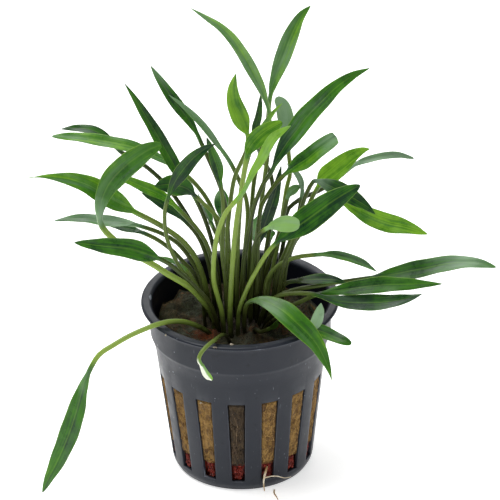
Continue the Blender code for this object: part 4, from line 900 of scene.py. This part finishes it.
# matted mineral wool, damp and stained: matt fibres, gold-brown at the sides, moss and rust on top
def woolMaterial():
    look = woolFinish
    material, tree = newMaterial("mattedMineralWool")
    place = addNode(tree, "ShaderNodeTexCoord")
    parts = addNode(tree, "ShaderNodeSeparateXYZ", in0=(place, 3))
    patches = addNode(tree, "ShaderNodeTexNoise", in0=(place, 3), Scale=1000 / 9.0, Detail=4.0, Roughness=0.6)
    spots = addNode(tree, "ShaderNodeTexNoise", in0=(place, 3), Scale=1000 / 3.2, Detail=5.0, Roughness=0.65)
    fine = addNode(tree, "ShaderNodeTexNoise", in0=(place, 3), Scale=1000 / 0.6, Detail=3.0, Roughness=0.7)
    strands = addNode(tree, "ShaderNodeMapping", in0=(place, 3), Scale=(1, 1, 0.2))
    threads = addNode(tree, "ShaderNodeTexNoise", in0=(strands, 0), Scale=1000 / 0.35, Detail=3.0, Distortion=1.2)
    # sides
    goldShare = ramp(tree, (spots, 0), 0.3, 0.62)
    side = mixColour(tree, (goldShare, 0), hexColour(look["brown"]), hexColour(look["gold"]))
    threadDark = ramp(tree, (threads, 0), 0.5, 0.34, 0.0, 0.6)
    side = mixColour(tree, (threadDark, 0), (side, 2), hexColour(look["dark"]))
    # top
    mossShare = ramp(tree, (patches, 0), 0.42, 0.58)
    top = mixColour(tree, (mossShare, 0), hexColour(look["moss"]), hexColour(look["brown"]))
    greyShare = ramp(tree, (spots, 0), 0.52, 0.66, 0.0, 0.85)
    greyTurn = ramp(tree, (spots, 0), 0.62, 0.45)
    top = mixColour(tree, (greyShare, 0), (top, 2), hexColour(look["grey"]))
    rusty = addNode(tree, "ShaderNodeAttribute", {"attribute_name": "rusty"})
    rustShare = sums(tree, "MULTIPLY", (rusty, 2), (greyTurn, 0))
    top = mixColour(tree, (rustShare, 0), (top, 2), hexColour(look["rust"]))
    fineDark = ramp(tree, (fine, 0), 0.6, 0.35, 0.0, 0.8)
    top = mixColour(tree, (fineDark, 0), (top, 2), hexColour(look["dark"]))
    onTop = ramp(tree, (parts, 2), 0.0395, 0.0415)
    colour = mixColour(tree, (onTop, 0), (side, 2), (top, 2))
    # painted shade: the top goes near black round the crown, under the leaves; the front slot takes the same dark
    # colour
    peaty = addNode(tree, "ShaderNodeAttribute", {"attribute_name": "peaty"})
    peatAndShadeMix = sums(tree, "MULTIPLY", (peaty, 2), 0.85)
    colour = mixColour(tree, (peatAndShadeMix, 0), (colour, 2), hexColour(look["peat"]))
    height = sums(tree, "ADD", (fine, 0), (threads, 0))
    bump = addNode(tree, "ShaderNodeBump", Strength=0.9, Distance=0.0004, Height=(height, 0))
    shader = addNode(tree, "ShaderNodeBsdfPrincipled", Base_Color=(colour, 2), Roughness=0.85, IOR=1.5,
                     Normal=(bump, 0))
    finishMaterial(tree, shader)
    return material


# a plain fibre or crumb finish whose colour wanders between two over a few millimetres
def strandMaterial(name, first, second, rough, patch):
    material, tree = newMaterial(name)
    place = addNode(tree, "ShaderNodeTexCoord")
    patches = addNode(tree, "ShaderNodeTexNoise", in0=(place, 3), Scale=1000 / patch, Detail=3.0)
    share = ramp(tree, (patches, 0), 0.38, 0.62)
    colour = mixColour(tree, (share, 0), hexColour(first), hexColour(second))
    shader = addNode(tree, "ShaderNodeBsdfPrincipled", Base_Color=(colour, 2), Roughness=rough, IOR=1.5)
    finishMaterial(tree, shader)
    return material


# height of the wool's lumpy top at a place
def woolTop(x, y):
    f = fillForm
    reach = math.hypot(x, y)
    dome = f["swell"] * smoothStep(14, 7, reach)
    lumps = noise.noise(Vector((x / 6, y / 6, 3.1))) * 2.8 + noise.noise(Vector((x / 2.4, y / 2.4, 8.4))) * 1.4
    lumps += noise.noise(Vector((x / 1.0, y / 1.0, 2.2))) * 0.35
    left = 1.0 * smoothStep(-6, -17, x)             # the wool stands higher at the left
    edge = 2.6 * smoothStep(fillRadius(f["woolTop"]) - 3.4, fillRadius(f["woolTop"]) + 0.2, reach)
    return f["woolTop"] + dome + lumps * smoothStep(2, 9, reach) + left - edge


def slotHalfWidth(high):
    p = potForm
    level = min(max(high, p["slotFoot"]), p["slotTop"])
    return (p["slotFootWidth"] + (p["slotTopWidth"] - p["slotFootWidth"]) * (level - p["slotFoot"]) / (
        p["slotTop"] - p["slotFoot"])) / 2


# how far something soft presses out into a slot there: 0 behind the bars, 1 in the slot
def slotPress(turn, high, reach):
    p = potForm
    step = 2 * math.pi / p["slots"]
    off = abs((turn - math.radians(p["firstSlot"]) + step / 2) % step - step / 2) * reach
    beside = smoothStep(slotHalfWidth(high) - 0.05, slotHalfWidth(high) - 0.32, off)
    return beside * smoothStep(p["slotTop"] - 0.1, p["slotTop"] - 0.6, high) * smoothStep(
        p["slotFoot"] + 0.1, p["slotFoot"] + 0.5, high)


def makeWool():
    p, f = potForm, fillForm
    foot = f["padTop"] + f["gap"]
    rise = [step / 58 for step in range(59)]
    line = [(0, foot), (fillRadius(foot) - 0.9, foot)]
    line += [(fillRadius(high) - 0.35, high) for high in [foot + 0.3 + (f["woolTop"] - 1.5 - foot) * t for t in rise]]
    edge = fillRadius(f["woolTop"])
    line += [((edge - 0.4) * (1 - step / 60), f["woolTop"]) for step in range(61)]

    def lump(turn, high, reach):
        x, y = reach * math.sin(turn), -reach * math.cos(turn)
        if high >= f["woolTop"] - 1e-6:
            return reach, max(woolTop(x, y), f["woolTop"] - 3.5)
        rough = noise.noise(Vector((x / 1.6, y / 1.6, high / 3.0))) + 0.5 * noise.noise(Vector((x, y, high)) / 0.6)
        press = slotPress(turn, high, bodyRadius(min(high, p["slotTop"])))
        return reach + press * (1.35 + 0.28 * rough), high

    points, faces = turnedForm(line, 540, lump)
    piece = makePiece("rockWoolPlug", points, faces, woolMaterial(), ["rock_wool"], 0)
    peaty, rusty = [], []
    for x, y, high in points:
        reach, turn = math.hypot(x, y), math.atan2(x, -y)
        onTop = smoothStep(40.0, 41.5, high)
        away = abs(turn - slotAngle(0)) * reach
        # near black round the crown is painted shade under the leaves; the front slot is darkened with it
        peaty.append(max(onTop * smoothStep(11, 6, reach), (1 - onTop) * smoothStep(4.5, 3, away)))
        rusty.append(onTop * max(smoothStep(4.5, 1.5, math.hypot(x - spotX, y - spotY)) for spotX, spotY in f["rust"]))
    storeValues(piece, "peaty", peaty)
    storeValues(piece, "rusty", rusty)
    return piece


# adds one thin three-sided strand along a run of points to lists of points and faces
def addStrand(points, faces, run, thick, taper=0.4):
    last = len(run) - 1
    start = len(points)
    for step, here in enumerate(run):
        ahead = (run[min(step + 1, last)] - run[max(step - 1, 0)]).normalized()
        side = ahead.orthogonal().normalized()
        up = ahead.cross(side)
        size = thick / 2 * (1 - (1 - taper) * step / last)
        for corner in range(3):
            turn = 2 * math.pi * corner / 3
            points.append(tuple(here + (side * math.cos(turn) + up * math.sin(turn)) * size))
    for step in range(last):
        for corner in range(3):
            a, b = start + step * 3 + corner, start + step * 3 + (corner + 1) % 3
            faces.append((a, b, b + 3, a + 3))
    faces.append((start, start + 2, start + 1))
    faces.append(tuple(start + last * 3 + corner for corner in range(3)))


def makeTopFibres():
    f = fillForm
    edge = fillRadius(f["woolTop"]) - 0.6
    lots = {"olive": ([], []), "moss": ([], []), "rust": ([], []), "peat": ([], [])}
    for strand in range(f["topFibres"]):
        reach, turn = edge * math.sqrt(rnd.random()), rnd.uniform(0, 2 * math.pi)
        x, y = reach * math.sin(turn), -reach * math.cos(turn)
        lot = "moss" if noise.noise(Vector((x / 6, y / 6, 1.7))) > -0.02 else "olive"
        if min(math.hypot(x - spotX, y - spotY) for spotX, spotY in f["rust"]) < rnd.uniform(1.5, 4.5):
            lot = "rust"
        # fibres near the crown take the near-black lot: painted shade under the leaves
        if reach < rnd.uniform(7, 11):
            lot = "peat"
        points, faces = lots[lot]
        heading, bend = rnd.uniform(0, 2 * math.pi), rnd.uniform(-0.7, 0.7)
        length, lift = rnd.uniform(1.2, 4.2), rnd.uniform(0.05, 0.55)
        run = []
        for step in range(5):
            share = step / 4
            way = heading + bend * share
            px, py = x + math.sin(way) * length * share, y + math.cos(way) * length * share
            far = math.hypot(px, py)
            if far > edge:
                px, py = px * edge / far, py * edge / far
            run.append(Vector((px, py, woolTop(px, py) + 0.05 + lift * math.sin(math.pi * share))))
        addStrand(points, faces, run, rnd.uniform(0.06, 0.13))
    tones = {"olive": ("stainedWoolFibre", "#5a4b27", "#3a351c"), "moss": ("mossyWoolFibre", "#3b402a", "#5d6450"),
             "rust": ("rustyWoolFibre", "#94531f", "#6d3514"), "peat": ("crownShadeWoolFibre", "#2b2115", "#17120c")}
    for lot, (points, faces) in lots.items():
        name, first, second = tones[lot]
        material = strandMaterial(name, first, second, 0.75, 3.0)
        makePiece("topFibres_" + lot, points, faces, material, [], 0)


def makeSideFibres():
    p, f = potForm, fillForm
    lots = {"gold": ([], []), "dark": ([], [])}
    for slot in range(p["slots"]):
        points, faces = lots["gold" if slot else "dark"]
        middle = slotAngle(slot)
        for strand in range(f["sideFibres"]):
            high = rnd.uniform(f["padTop"] + 0.5, p["slotTop"] - 0.4)
            wide = slotHalfWidth(high) * 2
            across = rnd.uniform(-0.5, 0.5) * wide
            heading, bend = rnd.gauss(3.14, 0.6), rnd.uniform(-0.9, 0.9)
            length, out = rnd.uniform(1.5, 6.0), rnd.uniform(-0.1, 0.35)
            run = []
            for step in range(5):
                share = step / 4
                way = heading + bend * share
                aside = min(max(across + math.sin(way) * length * share, -wide * 0.46), wide * 0.46)
                up = min(max(high + math.cos(way) * length * share, f["padTop"] + 0.3), p["slotTop"] - 0.3)
                reach = bodyRadius(up) - 0.45 + out * math.sin(math.pi * (0.15 + 0.7 * share))
                reach -= 0.5 * smoothStep(wide * 0.36, wide * 0.48, abs(aside))
                turn = middle + aside / reach
                run.append(Vector((reach * math.sin(turn), -reach * math.cos(turn), up)))
            addStrand(points, faces, run, rnd.uniform(0.06, 0.16))
    for lot, (first, second) in (("gold", ("#b48d4b", "#6b4a20")), ("dark", ("#3d2b18", "#1d140c"))):
        material = strandMaterial(lot + "DrawnWoolFibre", first, second, 0.7, 1.2)
        points, faces = lots[lot]
        makePiece("sideFibres_" + lot, points, faces, material, [], 0)


# small uneven lumps: the corners of an octahedron pushed about
def addLump(points, faces, centre, size):
    start = len(points)
    for axis in ((1, 0, 0), (-1, 0, 0), (0, 1, 0), (0, -1, 0), (0, 0, 1), (0, 0, -1)):
        jitter = Vector([rnd.uniform(-0.35, 0.35) for _ in range(3)])
        points.append(tuple(centre + (Vector(axis) + jitter) * size))
    for a in (0, 1):
        for b in (2, 3):
            for c in (4, 5):
                faces.append((start + a, start + b, start + c))


def makeCrumbs():
    f = fillForm
    edge = fillRadius(f["woolTop"]) - 0.8
    points, faces = [], []
    for crumb in range(f["crumbs"]):
        reach, turn = edge * math.sqrt(rnd.random()), rnd.uniform(0, 2 * math.pi)
        x, y = reach * math.sin(turn), -reach * math.cos(turn)
        size = rnd.uniform(0.08, 0.3)
        addLump(points, faces, Vector((x, y, woolTop(x, y) + size * 0.3)), size)
    material = strandMaterial("peatCrumb", woolFinish["dark"], "#42301a", 0.8, 2.0)
    makePiece("peatCrumbs", points, faces, material, [], 0)


# fired clay grit: matt, brick red, pitted
def clayMaterial():
    look = woolFinish
    material, tree = newMaterial("firedClayGrit")
    place = addNode(tree, "ShaderNodeTexCoord")
    patches = addNode(tree, "ShaderNodeTexNoise", in0=(place, 3), Scale=1000 / 1.2, Detail=4.0, Roughness=0.65)
    share = ramp(tree, (patches, 0), 0.35, 0.62)
    colour = mixColour(tree, (share, 0), hexColour(look["clayDark"]), hexColour(look["clay"]))
    bump = addNode(tree, "ShaderNodeBump", Strength=0.8, Distance=0.0002, Height=(patches, 0))
    shader = addNode(tree, "ShaderNodeBsdfPrincipled", Base_Color=(colour, 2), Roughness=0.6, IOR=1.5,
                     Normal=(bump, 0))
    finishMaterial(tree, shader)
    return material


# pale flakes of wool caught on the rim and in a slot
def makeFlakes():
    points, faces = [], []
    for place, size in fillForm["flakes"]:
        for bit in range(3):
            addLump(points, faces, Vector(place) + Vector([rnd.uniform(-0.3, 0.3), 0, rnd.uniform(-0.1, 0.2)]), size)
    material = strandMaterial("driedWoolFlake", "#b9ae9a", "#8d8371", 0.8, 1.0)
    makePiece("woolFlakes", points, faces, material, [], 25)


def makeClay():
    p, f = potForm, fillForm
    low = p["floor"] + f["gap"]
    line = [(0, low), (fillRadius(low) - 0.8, low)]
    line += [(fillRadius(high) - 0.6, high) for high in [low + 0.5 + (f["padTop"] - low - 0.9) * n / 12 for n in range(13)]]
    line += [(fillRadius(f["padTop"]) - 1.2, f["padTop"] - 0.1), (0, f["padTop"] - 0.1)]

    def lump(turn, high, reach):
        if reach < 5 or high <= low + 0.01 or high >= f["padTop"] - 0.15:
            return reach, high
        place = Vector((math.sin(turn) * reach / 0.9, math.cos(turn) * reach / 0.9, high / 0.9))
        press = slotPress(turn, high, bodyRadius(high))
        return reach - 0.3 + press * (0.75 + 0.35 * noise.noise(place)), high

    clay = clayMaterial()
    points, faces = turnedForm(line, 540, lump)
    makePiece("clayPad", points, faces, clay, ["red_pad"], 0)
    points, faces = [], []
    for slot in range(p["slots"]):
        middle = slotAngle(slot)
        top = f["padTop"] - rnd.uniform(-0.6, 0.9)
        for grain in range(f["granules"]):
            size = rnd.uniform(0.25, 0.5)
            up = rnd.uniform(p["slotFoot"] + 0.4, top - 0.2)
            reach = fillRadius(up) + rnd.uniform(0.2, 0.6)
            turn = middle + rnd.uniform(-1.0, 1.0) / reach
            addLump(points, faces, Vector((reach * math.sin(turn), -reach * math.cos(turn), up)), size)
    makePiece("clayGrains", points, faces, clay, [], 25)


makeWool()
makeTopFibres()
makeSideFibres()
makeCrumbs()
makeFlakes()
makeClay()
print("filling done")

rootForm = {
    "pale": "#e4d9c0", "tan": "#b5935f", "hairs": 90,
    "inSlot": 14,               # fine roots that show in the front slots
}

rootShapes = {
    "root_main": dict(
        path=((6.4, -17.6, 7), (6.1, -19.1, 6.4), (5.6, -19.8, 4.6), (5.5, -19.6, 2.6), (5.7, -20.2, 0.8)), thick=0.7),
    "root_side": dict(
        path=((5.7, -19.6, 4.6), (7.2, -19.3, 4.9), (9.2, -18.4, 4.4), (11.2, -17.4, 3.2), (13, -16.4, 2.9)), thick=0.42),
    "root_on_floor": dict(
        path=((8.4, -18.9, 0.35), (8.3, -20.6, 0.35), (8.9, -22.4, 0.35), (9.4, -24.4, 0.35)), thick=0.5),
}


# adds a round tapering tube along a run of points
def addTube(points, faces, run, thick, sides=8, taper=0.45):
    last = len(run) - 1
    start = len(points)
    side = None
    for step, here in enumerate(run):
        ahead = (run[min(step + 1, last)] - run[max(step - 1, 0)]).normalized()
        side = (side - ahead * side.dot(ahead)).normalized() if side else ahead.orthogonal().normalized()
        up = ahead.cross(side)
        size = thick / 2 * (1 - (1 - taper) * step / last)
        size *= 1 + 0.12 * noise.noise(here * 1.3)
        for corner in range(sides):
            turn = 2 * math.pi * corner / sides
            points.append(tuple(here + (side * math.cos(turn) + up * math.sin(turn)) * size))
    for step in range(last):
        for corner in range(sides):
            a, b = start + step * sides + corner, start + step * sides + (corner + 1) % sides
            faces.append((a, b, b + sides, a + sides))
    faces.append(tuple(range(start, start + sides)))
    faces.append(tuple(start + last * sides + corner for corner in range(sides)))


# fine roots matted in the front slots, where the wool is dark
def makeRoots():
    look = rootForm
    pale = strandMaterial("paleRootSkin", look["pale"], look["tan"], 0.5, 4.0)
    for node, root in rootShapes.items():
        points, faces = [], []
        run = evenCurve([Vector(point) for point in root["path"]], 24)
        addTube(points, faces, run, root["thick"])
        makePiece(node.replace("root_", "looseRoot_"), points, faces, pale, [node], 60)
    p, f = potForm, fillForm
    points, faces = [], []
    for strand in range(look["inSlot"]):
        middle = slotAngle(0)
        high, across = rnd.uniform(f["padTop"] + 3, p["slotTop"] - 2), rnd.uniform(-1.4, 1.4)
        corners = []
        drift = rnd.uniform(-0.8, 0.8)
        for step in range(5):
            aside = min(max(across + drift * step / 2 + rnd.uniform(-0.35, 0.35), -1.6), 1.6)
            up = max(high - step * rnd.uniform(0.8, 2.2), f["padTop"] + 0.5)
            reach = bodyRadius(up) - 0.5 + rnd.uniform(-0.1, 0.3)
            turn = middle + aside / reach
            corners.append(Vector((reach * math.sin(turn), -reach * math.cos(turn), up)))
        addTube(points, faces, evenCurve(corners, 14), rnd.uniform(0.07, 0.15), 5)
    makePiece("slotRoots", points, faces, strandMaterial("fineRootSkin", "#8d7454", "#5d452c", 0.5, 3.0), [], 60)


makeRoots()
print("roots done")

# the floor: a wide matt white sheet
floorFinish = {"colour": "#ffffff", "size": 6.0, "glow": 0.55}


def makeFloor():
    look = floorFinish
    half = look["size"] / 2
    mesh = bpy.data.meshes.new("paperFloor")
    mesh.from_pydata([(-half, -half, 0), (half, -half, 0), (half, half, 0), (-half, half, 0)], [], [(0, 1, 2, 3)])
    material, tree = newMaterial("mattWhitePaper")
    place = addNode(tree, "ShaderNodeTexCoord")
    mottle = addNode(tree, "ShaderNodeTexNoise", in0=(place, 3), Scale=1000 / 40.0, Detail=2.0)
    share = ramp(tree, (mottle, 0), 0.3, 0.7, 0.0, 1.0)
    colour = mixColour(tree, (share, 0), hexColour(look["colour"]), hexColour("#fdfdfd"))
    shader = addNode(tree, "ShaderNodeBsdfPrincipled", Base_Color=(colour, 2), Roughness=0.9,
                     Emission_Color=(1, 1, 1, 1), Emission_Strength=look["glow"])
    finishMaterial(tree, shader)
    mesh.materials.append(material)
    floor = bpy.data.objects.new("paperFloor", mesh)
    bpy.context.scene.collection.objects.link(floor)
    return floor


def makeLight(name, place, size, strength):
    data = bpy.data.lights.new(name, "AREA")
    data.shape = "DISK"
    data.size = size
    data.energy = strength
    lamp = bpy.data.objects.new(name, data)
    lamp.location = place
    lamp.rotation_euler = (Vector((0, 0, 0.07)) - Vector(place)).to_track_quat("-Z", "Y").to_euler()
    bpy.context.scene.collection.objects.link(lamp)


def makeStudio():
    scene = bpy.context.scene
    world = bpy.data.worlds.new("whiteStudio")
    world.use_nodes = True
    back = world.node_tree.nodes["Background"]
    back.inputs[0].default_value = hexColour(light["worldColour"])
    back.inputs[1].default_value = light["worldStrength"]
    scene.world = world
    for part in ("key", "fill", "back"):
        makeLight(part + "Light", light[part + "Place"], light[part + "Size"], light[part + "Strength"])
    scene.view_settings.view_transform = "Standard"
    scene.view_settings.look = "None"


def makeCamera():
    up, roll = math.radians(view["lookUp"]), math.radians(view["roll"])
    ahead = Vector((0, math.cos(up), -math.sin(up)))
    right = Vector((1, 0, 0))
    over = right.cross(ahead)
    tilted = right * math.cos(roll) + over * math.sin(roll)
    upright = over * math.cos(roll) - right * math.sin(roll)
    data = bpy.data.cameras.new("camera")
    data.lens = view["lens"]
    data.sensor_width = 36
    data.clip_start, data.clip_end = 0.05, 50
    camera = bpy.data.objects.new("camera", data)
    bpy.context.scene.collection.objects.link(camera)
    place = (Vector(view["target"]) - ahead * view["distance"]) * mm
    turned = [tilted, upright, -ahead]
    rows = [[turned[column][row] for column in range(3)] + [place[row]] for row in range(3)] + [[0, 0, 0, 1]]
    camera.matrix_world = Matrix(rows)
    bpy.context.scene.camera = camera


makeFloor()
makeStudio()
makeCamera()
print("studio done")
